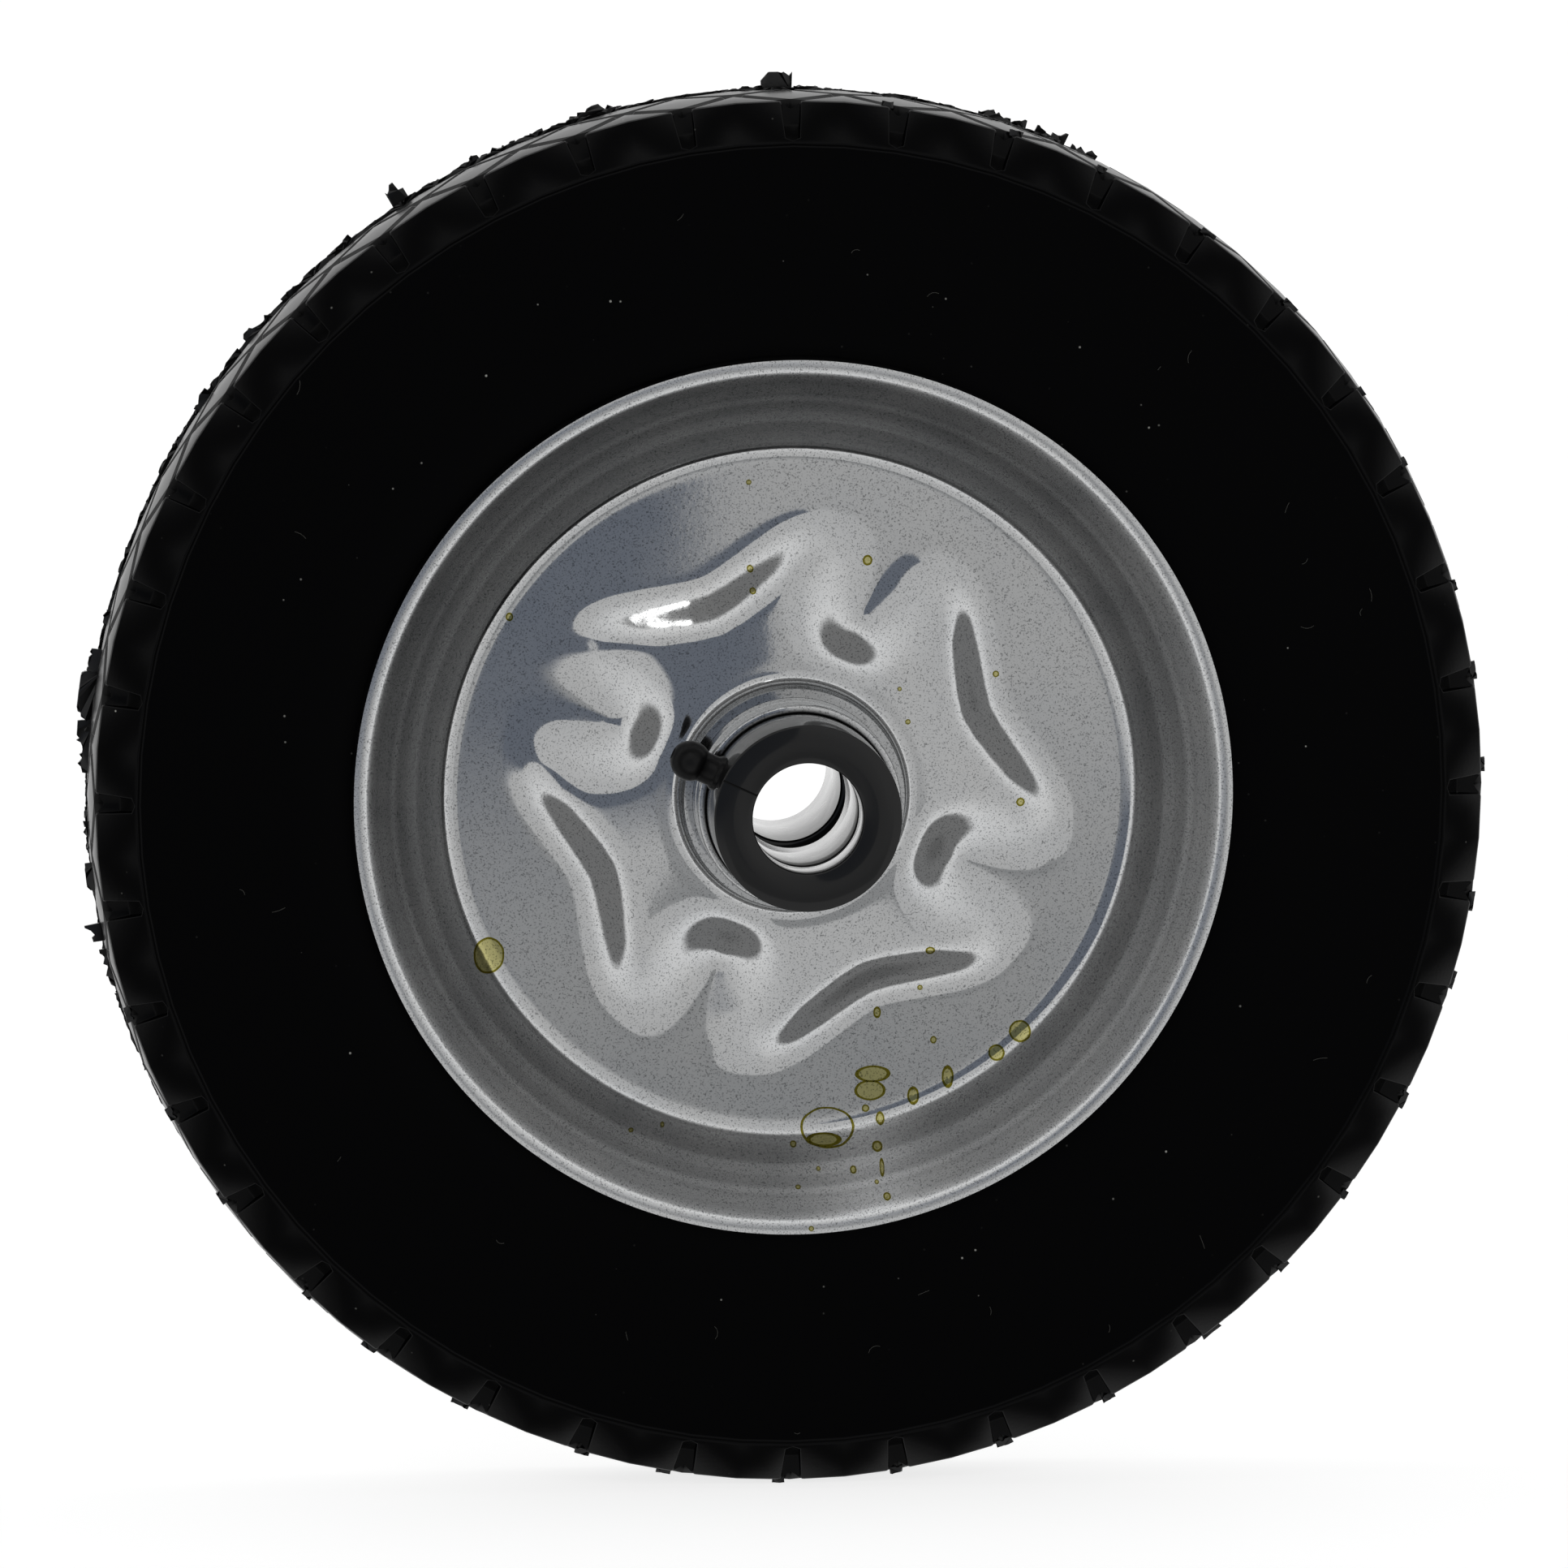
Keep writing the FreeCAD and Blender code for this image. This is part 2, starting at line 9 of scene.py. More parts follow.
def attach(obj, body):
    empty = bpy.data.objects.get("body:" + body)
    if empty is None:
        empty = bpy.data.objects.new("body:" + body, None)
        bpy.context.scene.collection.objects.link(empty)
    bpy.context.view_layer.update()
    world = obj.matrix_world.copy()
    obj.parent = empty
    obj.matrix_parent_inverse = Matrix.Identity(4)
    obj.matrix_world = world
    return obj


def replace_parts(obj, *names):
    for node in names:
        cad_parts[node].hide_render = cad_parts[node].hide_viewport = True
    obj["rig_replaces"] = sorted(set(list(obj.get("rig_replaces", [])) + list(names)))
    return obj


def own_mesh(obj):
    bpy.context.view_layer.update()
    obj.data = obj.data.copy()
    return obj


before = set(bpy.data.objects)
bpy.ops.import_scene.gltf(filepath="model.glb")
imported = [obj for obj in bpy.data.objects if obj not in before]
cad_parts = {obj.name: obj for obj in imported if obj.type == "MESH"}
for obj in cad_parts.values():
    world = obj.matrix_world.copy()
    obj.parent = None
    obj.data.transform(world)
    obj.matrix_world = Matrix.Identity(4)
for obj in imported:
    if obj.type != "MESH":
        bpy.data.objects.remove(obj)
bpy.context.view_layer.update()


# Hub tube: a length of welded steel tube, zinc plated, that both discs are pressed onto.
# Its ends are sawn square and deburred, and the plastic bushes sit in its mouths.

TUBE_RADIUS = 0.0185
TUBE_WALL = 0.0015
TUBE_HALF = 0.0263
TUBE_DEBURR = 0.0004
ROUND_STEPS = 128
MERGE_GAP = 2e-6


def select_only(piece):
    bpy.ops.object.select_all(action="DESELECT")
    piece.select_set(True)
    bpy.context.view_layer.objects.active = piece


def draw_line(name, corners):
    """Draws edges from corner to corner, by extruding one vertex, and stays in edit mode."""
    bpy.ops.object.select_all(action="DESELECT")
    bpy.ops.mesh.primitive_plane_add(size=0.001, location=corners[0])
    piece = bpy.context.object
    piece.name = name
    piece.data.name = name
    bpy.ops.object.transform_apply(location=True, rotation=True, scale=True)
    bpy.ops.object.mode_set(mode="EDIT")
    bpy.ops.mesh.select_all(action="SELECT")
    bpy.ops.mesh.merge(type="CENTER")
    for here, there in zip(corners, corners[1:]):
        step = Vector(there) - Vector(here)
        bpy.ops.mesh.extrude_vertices_move(TRANSFORM_OT_translate={"value": step})
    return piece


def spin_line(steps, centre=(0, 0, 0), axis=(0, 1, 0)):
    """Spins the drawn line to a full turn, closes its seam and leaves edit mode."""
    bpy.ops.mesh.select_all(action="SELECT")
    bpy.ops.mesh.spin(steps=steps, angle=math.tau, center=centre, axis=axis)
    bpy.ops.mesh.select_all(action="SELECT")
    bpy.ops.mesh.remove_doubles(threshold=MERGE_GAP)
    bpy.ops.mesh.normals_make_consistent(inside=False)
    bpy.ops.object.mode_set(mode="OBJECT")


def apply_modifier(piece, kind, **settings):
    select_only(piece)
    modifier = piece.modifiers.new(kind, kind)
    for name, value in settings.items():
        setattr(modifier, name, value)
    bpy.ops.object.modifier_apply(modifier=modifier.name)


def ring_section(corners):
    """Corners (radius, place along the axle) as points of a closed section."""
    points = [(radius, along, 0) for radius, along in corners]
    return points + points[:1]


def dress(piece, material, angle=35):
    """Gives a finished piece its shading and finish, and lets it ride on the wheel."""
    select_only(piece)
    bpy.ops.object.shade_smooth_by_angle(angle=math.radians(angle))
    piece.data.materials.clear()
    piece.data.materials.append(material)
    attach(piece, "wheel")


def linear(code):
    """An sRGB hex code as a linear colour."""
    parts = [int(code[at:at + 2], 16) / 255 for at in (0, 2, 4)]
    return [p / 12.92 if p <= 0.04045 else ((p + 0.055) / 1.055) ** 2.4 for p in parts] + [1.0]


def add_node(tree, kind, inputs, **settings):
    """Adds a node, with each input set to a value or linked to another node's socket."""
    node = tree.nodes.new(kind)
    for name, value in settings.items():
        setattr(node, name, value)
    for name, value in inputs.items():
        if isinstance(value, bpy.types.NodeSocket):
            tree.links.new(value, node.inputs[name])
        else:
            node.inputs[name].default_value = value
    return node


def new_material(name):
    """A bare material, its node tree and its shader."""
    material = bpy.data.materials.new(name)
    material.use_nodes = True
    return material, material.node_tree, material.node_tree.nodes["Principled BSDF"]


# Bright zinc plating: a satin mirror with fine dark pits, about 0.25 mm across.
# It is duller where the sheet was drawn, on the dish wall and the lip.
WALL_FROM, WALL_FULL = 0.0622, 0.0640
DRAWN_DULLNESS = 0.17
# How far into the drawn dullness the painted sheen rings begin
SHEEN_RINGS_ABOVE = 0.16

zinc, tree, shader = new_material("bright_zinc_plating")
place = add_node(tree, "ShaderNodeTexCoord", {}).outputs["Object"]
pits = add_node(tree, "ShaderNodeTexNoise", {"Vector": place, "Scale": 1 / 0.0003, "Detail": 1.0})
pit_mask = add_node(tree, "ShaderNodeMapRange", {
    "Value": pits.outputs["Fac"], "From Min": 0.54, "From Max": 0.73, "To Min": 0.0, "To Max": 0.7,
})
cloud = add_node(tree, "ShaderNodeTexNoise", {"Vector": place, "Scale": 1 / 0.012, "Detail": 3.0})
tint = add_node(tree, "ShaderNodeMix", {
    "Factor": cloud.outputs["Fac"], "A": linear("c4c6c8"), "B": linear("cdcdcc"),
}, data_type="RGBA")
pitted = add_node(tree, "ShaderNodeMix", {
    "Factor": pit_mask.outputs["Result"], "A": tint.outputs["Result"], "B": linear("4e5052"),
}, data_type="RGBA")
gloss = add_node(tree, "ShaderNodeMapRange", {
    "Value": cloud.outputs["Fac"], "From Min": 0.3, "From Max": 0.7, "To Min": 0.05, "To Max": 0.085,
})
from_axle = add_node(tree, "ShaderNodeVectorMath", {0: place, 1: (1, 0, 1)}, operation="MULTIPLY")
axle_distance = add_node(tree, "ShaderNodeVectorMath", {
    0: from_axle.outputs["Vector"],
}, operation="LENGTH")
drawn = add_node(tree, "ShaderNodeMapRange", {
    "Value": axle_distance.outputs["Value"], "From Min": WALL_FROM, "From Max": WALL_FULL,
    "To Min": 0.0, "To Max": DRAWN_DULLNESS,
})
dullness = add_node(tree, "ShaderNodeMath", {
    0: gloss.outputs["Result"], 1: drawn.outputs["Result"],
}, operation="ADD")
# Painted sheen: lighter and darker rings, some 4 mm apart, painted into the dish wall's colour to stand for
# the bands of light that the wall mirrors
painted_sheen_rings = add_node(tree, "ShaderNodeTexNoise", {
    "W": axle_distance.outputs["Value"], "Scale": 1 / 0.004, "Detail": 3.0,
}, noise_dimensions="1D")
sheen_tone = add_node(tree, "ShaderNodeMapRange", {
    "Value": painted_sheen_rings.outputs["Fac"], "From Min": 0.36, "From Max": 0.64, "To Min": 0.9, "To Max": 1.28,
})
sheen_toned = add_node(tree, "ShaderNodeVectorMath", {
    0: pitted.outputs["Result"], "Scale": sheen_tone.outputs["Result"],
}, operation="SCALE")
# The painted sheen rings show on the dish wall only
on_wall = add_node(tree, "ShaderNodeMath", {
    0: drawn.outputs["Result"], 1: SHEEN_RINGS_ABOVE,
}, operation="GREATER_THAN")
sheen_ringed = add_node(tree, "ShaderNodeMix", {
    "Factor": on_wall.outputs["Value"], "A": pitted.outputs["Result"], "B": sheen_toned.outputs["Vector"],
}, data_type="RGBA")
peel = add_node(tree, "ShaderNodeTexNoise", {"Vector": place, "Scale": 1 / 0.0008, "Detail": 2.0})
ripple = add_node(tree, "ShaderNodeBump", {
    "Height": peel.outputs["Fac"], "Strength": 1.0, "Distance": 0.000003,
})
tree.links.new(sheen_ringed.outputs["Result"], shader.inputs["Base Color"])
tree.links.new(dullness.outputs["Value"], shader.inputs["Roughness"])
tree.links.new(ripple.outputs["Normal"], shader.inputs["Normal"])
shader.inputs["Metallic"].default_value = 1.0

tube = draw_line("hub_tube_steel", ring_section([
    (TUBE_RADIUS - TUBE_WALL, -TUBE_HALF), (TUBE_RADIUS, -TUBE_HALF),
    (TUBE_RADIUS, TUBE_HALF), (TUBE_RADIUS - TUBE_WALL, TUBE_HALF),
]))
spin_line(ROUND_STEPS)
apply_modifier(tube, "BEVEL", width=TUBE_DEBURR, segments=3, limit_method="ANGLE")
dress(tube, zinc)
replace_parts(tube, "hub_tube")


# Bushes: two moulded sleeves of black acetal plastic, pressed into the tube's ends; the axle runs in them.
# The front one stands far out of the tube. It has a grease groove in its bore, a drilled socket
# for the nipple, and a parting line on its face.

BUSH_RADIUS = 0.01697
BORE_RADIUS = 0.0100
HUB_FRONT = -0.0415
FRONT_BUSH_END = -0.0089
FRONT_CHAMFER = 0.00035
REAR_BUSH_START = -0.0005
REAR_CHAMFER = 0.00045
NIPPLE_SETBACK = 0.0092
GREASE_GROOVE_AT = HUB_FRONT + NIPPLE_SETBACK
GROOVE_HALF = 0.0008
GROOVE_DEPTH = 0.0008
NIPPLE_ANGLE = math.radians(155)
PARTING_AT = 0.0136
PARTING_HALF = 0.0002
PARTING_DEPTH = 0.00016
PARTING_LENGTH = 0.0102
SHANK_RADIUS = 0.0020
SHANK_END = 0.01277
SOCKET_MOUTH = 0.020
FEED_HOLE_RADIUS = 0.0008
FEED_HOLE_START = 0.008
FEED_HOLE_END = 0.014
# The socket and the grease hole: radius, start and end, out from the axle
NIPPLE_HOLES = (
    (SHANK_RADIUS, SHANK_END, SOCKET_MOUTH),
    (FEED_HOLE_RADIUS, FEED_HOLE_START, FEED_HOLE_END),
)

# Moulded acetal: black and satin, with a faint cloud in its gloss and a thin film of grease all over.
acetal, tree, shader = new_material("black_acetal_plastic")
place = add_node(tree, "ShaderNodeTexCoord", {}).outputs["Object"]
smear = add_node(tree, "ShaderNodeTexNoise", {"Vector": place, "Scale": 1 / 0.004, "Detail": 4.0})
gloss = add_node(tree, "ShaderNodeMapRange", {
    "Value": smear.outputs["Fac"], "From Min": 0.3, "From Max": 0.7, "To Min": 0.26, "To Max": 0.38,
})
tree.links.new(gloss.outputs["Result"], shader.inputs["Roughness"])
shader.inputs["Base Color"].default_value = linear("060607")
shader.inputs["Specular IOR Level"].default_value = 0.15
shader.inputs["Coat Weight"].default_value = 1.0
shader.inputs["Coat Roughness"].default_value = 0.06
shader.inputs["Coat IOR"].default_value = 1.38


def cut_away(piece, cutter):
    """Takes a cutter's shape out of a piece, and the cutter out of the scene."""
    select_only(cutter)
    bpy.ops.object.transform_apply(location=True, rotation=True, scale=True)
    apply_modifier(piece, "BOOLEAN", object=cutter, operation="DIFFERENCE", solver="EXACT")
    bpy.data.objects.remove(cutter)


front_bush = draw_line("front_bush_plastic", ring_section([
    (BORE_RADIUS, HUB_FRONT), (BUSH_RADIUS, HUB_FRONT),
    (BUSH_RADIUS, FRONT_BUSH_END), (BORE_RADIUS, FRONT_BUSH_END),
    (BORE_RADIUS, GREASE_GROOVE_AT + GROOVE_HALF),
    (BORE_RADIUS + GROOVE_DEPTH, GREASE_GROOVE_AT + GROOVE_HALF),
    (BORE_RADIUS + GROOVE_DEPTH, GREASE_GROOVE_AT - GROOVE_HALF),
    (BORE_RADIUS, GREASE_GROOVE_AT - GROOVE_HALF),
]))
spin_line(ROUND_STEPS)
apply_modifier(front_bush, "BEVEL", width=FRONT_CHAMFER, segments=3, limit_method="ANGLE")

# The parting line, a shallow V across the face
outward = Vector((math.cos(NIPPLE_ANGLE), 0, math.sin(NIPPLE_ANGLE)))
turned_outward = (0, math.pi / 2 - NIPPLE_ANGLE, 0)
bpy.ops.object.select_all(action="DESELECT")
bpy.ops.mesh.primitive_cylinder_add(
    vertices=4, radius=1, depth=1,
    location=outward * PARTING_AT + Vector((0, HUB_FRONT, 0)), rotation=turned_outward,
)
bpy.context.object.scale = (PARTING_HALF, PARTING_DEPTH, PARTING_LENGTH)
cut_away(front_bush, bpy.context.object)

nipple_foot = Vector((0, GREASE_GROOVE_AT, 0))
for hole_radius, start, end in NIPPLE_HOLES:
    bpy.ops.object.select_all(action="DESELECT")
    bpy.ops.mesh.primitive_cylinder_add(
        vertices=32, radius=hole_radius, depth=end - start,
        location=nipple_foot + outward * (start + end) / 2, rotation=turned_outward,
    )
    cut_away(front_bush, bpy.context.object)
dress(front_bush, acetal)
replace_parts(front_bush, "front_bush")

rear_bush = draw_line("rear_bush_plastic", ring_section([
    (BORE_RADIUS, REAR_BUSH_START), (BUSH_RADIUS, REAR_BUSH_START),
    (BUSH_RADIUS, TUBE_HALF), (BORE_RADIUS, TUBE_HALF),
]))
spin_line(ROUND_STEPS)
apply_modifier(rear_bush, "BEVEL", width=REAR_CHAMFER, segments=3, limit_method="ANGLE")
dress(rear_bush, acetal)
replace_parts(rear_bush, "rear_bush")


# Grease nipple: a turned steel fitting with a ball head, blackened, driven radially into the front bush.
# A steel check ball on a coil spring closes the passage behind its tip.

NIPPLE_BALL_AT = 0.0225
NIPPLE_BALL_RADIUS = 0.00365
NIPPLE_STEM_RADIUS = 0.0028
NIPPLE_COLLAR_RADIUS = 0.0032
COLLAR_FOOT = BUSH_RADIUS - 0.0006
COLLAR_TOP = BUSH_RADIUS + 0.0004
COLLAR_ROUND = 0.0003
COLLAR_CHAMFER = 0.0002
NIPPLE_HOLE_RADIUS = 0.00115
NIPPLE_MOUTH_RADIUS = 0.0009
MOUTH_EDGE_AT = NIPPLE_BALL_AT + 0.0030
PASSAGE_RADIUS = 0.0014
BALL_SEAT_AT = 0.02458
SEAT_CONE = 0.0005
CRIMP_AT = SHANK_END + 0.0007
HEAD_STEPS = 18
NIPPLE_STEPS = 64
SOLID_MERGE_GAP = 2e-5

# Black oxide on steel: dark, slightly glossy, with dull patches of grease.
black_oxide, tree, shader = new_material("black_oxide_steel")
place = add_node(tree, "ShaderNodeTexCoord", {}).outputs["Object"]
grease = add_node(tree, "ShaderNodeTexNoise", {"Vector": place, "Scale": 1 / 0.0015, "Detail": 3.0})
gloss = add_node(tree, "ShaderNodeMapRange", {
    "Value": grease.outputs["Fac"], "From Min": 0.35, "From Max": 0.65, "To Min": 0.3, "To Max": 0.45,
})
tree.links.new(gloss.outputs["Result"], shader.inputs["Roughness"])
shader.inputs["Base Color"].default_value = linear("0a0a0b")
shader.inputs["Specular IOR Level"].default_value = 0.2

# The section as (radius, distance from the axle), up the outside and down the passage
profile = [
    (FEED_HOLE_RADIUS, SHANK_END), (SHANK_RADIUS, SHANK_END),
    (SHANK_RADIUS, COLLAR_FOOT), (NIPPLE_COLLAR_RADIUS, COLLAR_FOOT),
    (NIPPLE_COLLAR_RADIUS, COLLAR_TOP), (NIPPLE_COLLAR_RADIUS - COLLAR_CHAMFER, COLLAR_TOP + COLLAR_ROUND),
    (NIPPLE_STEM_RADIUS, COLLAR_TOP + 2 * COLLAR_ROUND),
]
neck_angle = math.asin(NIPPLE_STEM_RADIUS / NIPPLE_BALL_RADIUS)
tip_angle = math.pi - math.asin(NIPPLE_HOLE_RADIUS / NIPPLE_BALL_RADIUS)
for step in range(HEAD_STEPS + 1):
    turn = neck_angle + (tip_angle - neck_angle) * step / HEAD_STEPS
    profile.append((
        NIPPLE_BALL_RADIUS * math.sin(turn),
        NIPPLE_BALL_AT - NIPPLE_BALL_RADIUS * math.cos(turn),
    ))
profile += [
    (NIPPLE_MOUTH_RADIUS, MOUTH_EDGE_AT), (NIPPLE_MOUTH_RADIUS, BALL_SEAT_AT),
    (PASSAGE_RADIUS, BALL_SEAT_AT - SEAT_CONE), (PASSAGE_RADIUS, CRIMP_AT),
    (FEED_HOLE_RADIUS, CRIMP_AT), (FEED_HOLE_RADIUS, SHANK_END),
]
sideways = Vector((0, 1, 0))
nipple = draw_line("grease_nipple", [
    nipple_foot + outward * out + sideways * wide for wide, out in profile
])
spin_line(NIPPLE_STEPS, centre=nipple_foot, axis=outward)
dress(nipple, black_oxide, angle=40)
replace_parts(nipple, "nipple_body")

# Polished bearing steel, plain and bright.
ball_steel, tree, shader = new_material("polished_ball_steel")
shader.inputs["Base Color"].default_value = linear("c8c9cb")
shader.inputs["Metallic"].default_value = 1.0
shader.inputs["Roughness"].default_value = 0.12

check_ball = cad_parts["nipple_ball"]
check_ball.data.materials.clear()
check_ball.data.materials.append(ball_steel)

# Drawn spring wire: grey and satin.
spring_wire, tree, shader = new_material("drawn_spring_wire")
shader.inputs["Base Color"].default_value = linear("9a9b9d")
shader.inputs["Metallic"].default_value = 1.0
shader.inputs["Roughness"].default_value = 0.3


def copy_solid(name, node):
    """Copies a solid's mesh to a new piece, merges its doubles and stays in edit mode."""
    piece = bpy.data.objects.new(name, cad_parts[node].data.copy())
    bpy.context.collection.objects.link(piece)
    piece.data.name = name
    select_only(piece)
    bpy.ops.object.mode_set(mode="EDIT")
    bpy.ops.mesh.select_all(action="SELECT")
    bpy.ops.mesh.remove_doubles(threshold=SOLID_MERGE_GAP)
    return piece


# The coil spring, copied at its rest length; nothing here shortens it by the ball's stroke
spring = copy_solid("nipple_coil_spring", "nipple_spring")
bpy.ops.object.mode_set(mode="OBJECT")
dress(spring, spring_wire, angle=40)
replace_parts(spring, "nipple_spring")
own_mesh(spring)


# Discs: two mirrored dishes pressed from 1.5 mm sheet steel and zinc plated. Each has a rolled lip for
# the tyre, a star of four bow-tie pads pressed out round the hub, and a drawn neck over the tube.

SHEET = 0.0015
NECK_RADIUS = 0.02003
NECK_END = -0.0191
NECK_BEND = 0.0024
NECK_BEND_STEPS = 6
FLAT_Y = -0.0052
FLAT_CORNER = 0.0621
BEND_RADIUS = 0.0059
BEND_STEPS = 8
WALL_STEPS = 8
RIM_RADIUS = 0.0800
RIM_CREST = -0.0162
LIP_ROLL = 0.0036
LIP_RETURN = math.radians(15)
LIP_STEPS = 12
DISC_RINGS = 58
DISC_STEPS = 360
RING_SLACK = 1e-5
PAD_DEGREES = 90
STAR_HEIGHT = 0.0056
STAR_TOP_FROM = 0.024
STAR_TOP_SLOPE = 0.085
# The star's outer wall at half its height, as degrees from a pad's middle and radius in mm
STAR_OUTLINE = (
    (0, 37.3), (6, 38.1), (12, 39.8), (18, 42.2), (23, 44.6), (28, 46.6), (34, 47.6), (45, 48.0),
)
OUTLINE_POINTS = 1440
OUTER_WALL = 0.0113
# The valleys between the pads are blunt wedges, steep at their inner end and softer along their sides
FIRST_VALLEY = 67.5
VALLEY_END = 0.0293
VALLEY_REACH = 0.0100
VALLEY_HALF = 0.0086
VALLEY_BLUNTNESS = 3.2
VALLEY_DRAWN_HALF = 0.016
VALLEY_POINTS = 120
VALLEY_TIP = 0.001
VALLEY_TURN = 0.008
VALLEY_END_WALL = 0.0135
VALLEY_SIDE_WALL = 0.0175

# The dish wall runs from the flat's corner to touch the lip's roll
roll_centre = (RIM_RADIUS - LIP_ROLL * math.sin(LIP_RETURN), RIM_CREST + LIP_ROLL)
across = roll_centre[0] - FLAT_CORNER
forward = FLAT_Y - roll_centre[1]
wall_slope = math.atan2(forward, across) + math.asin(LIP_ROLL / math.hypot(across, forward))
wall_top = (
    roll_centre[0] - LIP_ROLL * math.sin(wall_slope),
    roll_centre[1] - LIP_ROLL * math.cos(wall_slope),
)
first_ring = NECK_RADIUS + NECK_BEND
bend_start = FLAT_CORNER - BEND_RADIUS * math.tan(wall_slope / 2)

# The sheet's section from the neck's end to the lip's, as (radius, place along the axle)
hub_flat = FLAT_Y - STAR_HEIGHT
line = [(NECK_RADIUS, NECK_END), (NECK_RADIUS, hub_flat - NECK_BEND)]
for step in range(1, NECK_BEND_STEPS):
    turn = math.radians(90 * step / NECK_BEND_STEPS)
    line.append((
        NECK_RADIUS + NECK_BEND * (1 - math.cos(turn)),
        hub_flat - NECK_BEND * (1 - math.sin(turn)),
    ))
for ring in range(DISC_RINGS + 1):
    line.append((first_ring + (bend_start - first_ring) * ring / DISC_RINGS, FLAT_Y))
for step in range(1, BEND_STEPS + 1):
    turn = wall_slope * step / BEND_STEPS
    line.append((bend_start + BEND_RADIUS * math.sin(turn), FLAT_Y - BEND_RADIUS * (1 - math.cos(turn))))
wall_foot = line[-1]
for step in range(1, WALL_STEPS + 1):
    line.append(tuple(low + (high - low) * step / WALL_STEPS for low, high in zip(wall_foot, wall_top)))
for step in range(1, LIP_STEPS + 1):
    turn = wall_slope - (wall_slope + LIP_RETURN) * step / LIP_STEPS
    line.append((roll_centre[0] - LIP_ROLL * math.sin(turn), roll_centre[1] - LIP_ROLL * math.cos(turn)))

front_disc = draw_line("front_disc_steel", [(radius, along, 0) for radius, along in line])
spin_line(DISC_STEPS)


def star_radius(degrees):
    """Radius of the outer wall's line, at degrees from the middle of a pad."""
    for (here, near), (there, far) in zip(STAR_OUTLINE, STAR_OUTLINE[1:]):
        if degrees <= there:
            share = (degrees - here) / (there - here)
            return (near + (far - near) * share) / 1000
    return STAR_OUTLINE[-1][1] / 1000


def valley_line(aside):
    """How far out a valley's line lies, at a distance from the valley's middle."""
    return VALLEY_END + VALLEY_REACH * abs(aside / VALLEY_HALF) ** VALLEY_BLUNTNESS


def smooth_step(share):
    share = max(0.0, min(1.0, share))
    return share * share * (3 - 2 * share)


outline_tree = KDTree(OUTLINE_POINTS)
for index in range(OUTLINE_POINTS):
    degrees = index * 360 / OUTLINE_POINTS
    from_valley = (degrees - FIRST_VALLEY) % PAD_DEGREES
    radius = star_radius(abs(from_valley - PAD_DEGREES / 2))
    turn = math.radians(degrees)
    outline_tree.insert((radius * math.cos(turn), radius * math.sin(turn), 0), index)
outline_tree.balance()
valley_tree = KDTree(2 * VALLEY_POINTS + 1)
for index in range(2 * VALLEY_POINTS + 1):
    across_valley = (index - VALLEY_POINTS) / VALLEY_POINTS * VALLEY_DRAWN_HALF
    valley_tree.insert((valley_line(across_valley), across_valley, 0), index)
valley_tree.balance()

# Each point of the flat is pressed out by how far it lies inside the outer wall and outside the valleys
for vertex in front_disc.data.vertices:
    radius = math.hypot(vertex.co.x, vertex.co.z)
    if first_ring - RING_SLACK < radius < bend_start:
        turn = math.atan2(vertex.co.z, vertex.co.x)
        nearest, index, gap = outline_tree.find((vertex.co.x, vertex.co.z, 0))
        inside = gap if radius < nearest.length else -gap
        past_valley = math.degrees(turn) - FIRST_VALLEY + PAD_DEGREES / 2
        from_valley = math.radians(past_valley % PAD_DEGREES - PAD_DEGREES / 2)
        along_valley = radius * math.cos(from_valley)
        across_valley = radius * math.sin(from_valley)
        nearest, index, gap = valley_tree.find((along_valley, across_valley, 0))
        if along_valley > valley_line(across_valley):
            gap = -gap
        softness = smooth_step((abs(nearest.y) - VALLEY_TIP) / VALLEY_TURN)
        valley_wall = VALLEY_END_WALL + (VALLEY_SIDE_WALL - VALLEY_END_WALL) * softness
        top = STAR_HEIGHT - STAR_TOP_SLOPE * max(0.0, radius - STAR_TOP_FROM)
        vertex.co.y -= top * smooth_step(inside / OUTER_WALL + 0.5) * smooth_step(gap / valley_wall + 0.5)

apply_modifier(front_disc, "SMOOTH", factor=0.5, iterations=9)
apply_modifier(front_disc, "SOLIDIFY", thickness=SHEET, offset=-1)
dress(front_disc, zinc, angle=40)
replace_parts(front_disc, "front_disc")

# The rear disc is the front one mirrored, without the copied mark of the node that the front one replaces
select_only(front_disc)
bpy.ops.object.duplicate()
rear_disc = bpy.context.object
rear_disc.name = "rear_disc_steel"
rear_disc.data.name = "rear_disc_steel"
del rear_disc["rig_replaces"]
bpy.ops.object.mode_set(mode="EDIT")
bpy.ops.mesh.select_all(action="SELECT")
bpy.ops.transform.resize(value=(1, -1, 1), center_override=(0, 0, 0))
bpy.ops.mesh.flip_normals()
bpy.ops.object.mode_set(mode="OBJECT")
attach(rear_disc, "wheel")
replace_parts(rear_disc, "rear_disc")


# Dried drops: splashes of old oil on the front disc, dried to thin olive films with a darker rim.
# Each lies on the sheet and follows its curves; the largest is a bare ring with a pool at its foot.

DROPS_FROM = -0.03
DROP_LIFT = 0.00004
DROP_FILM = 0.00003
DROP_CORNERS = 36
DROP_WOBBLE = 1 / 26
RIM_WIDTH = 0.34
LEAST_INSIDE = 0.62
HAIRLINE = 1e-6
INNER_RINGS = (0.72, 0.5)
HOLLOW_DROP = 1
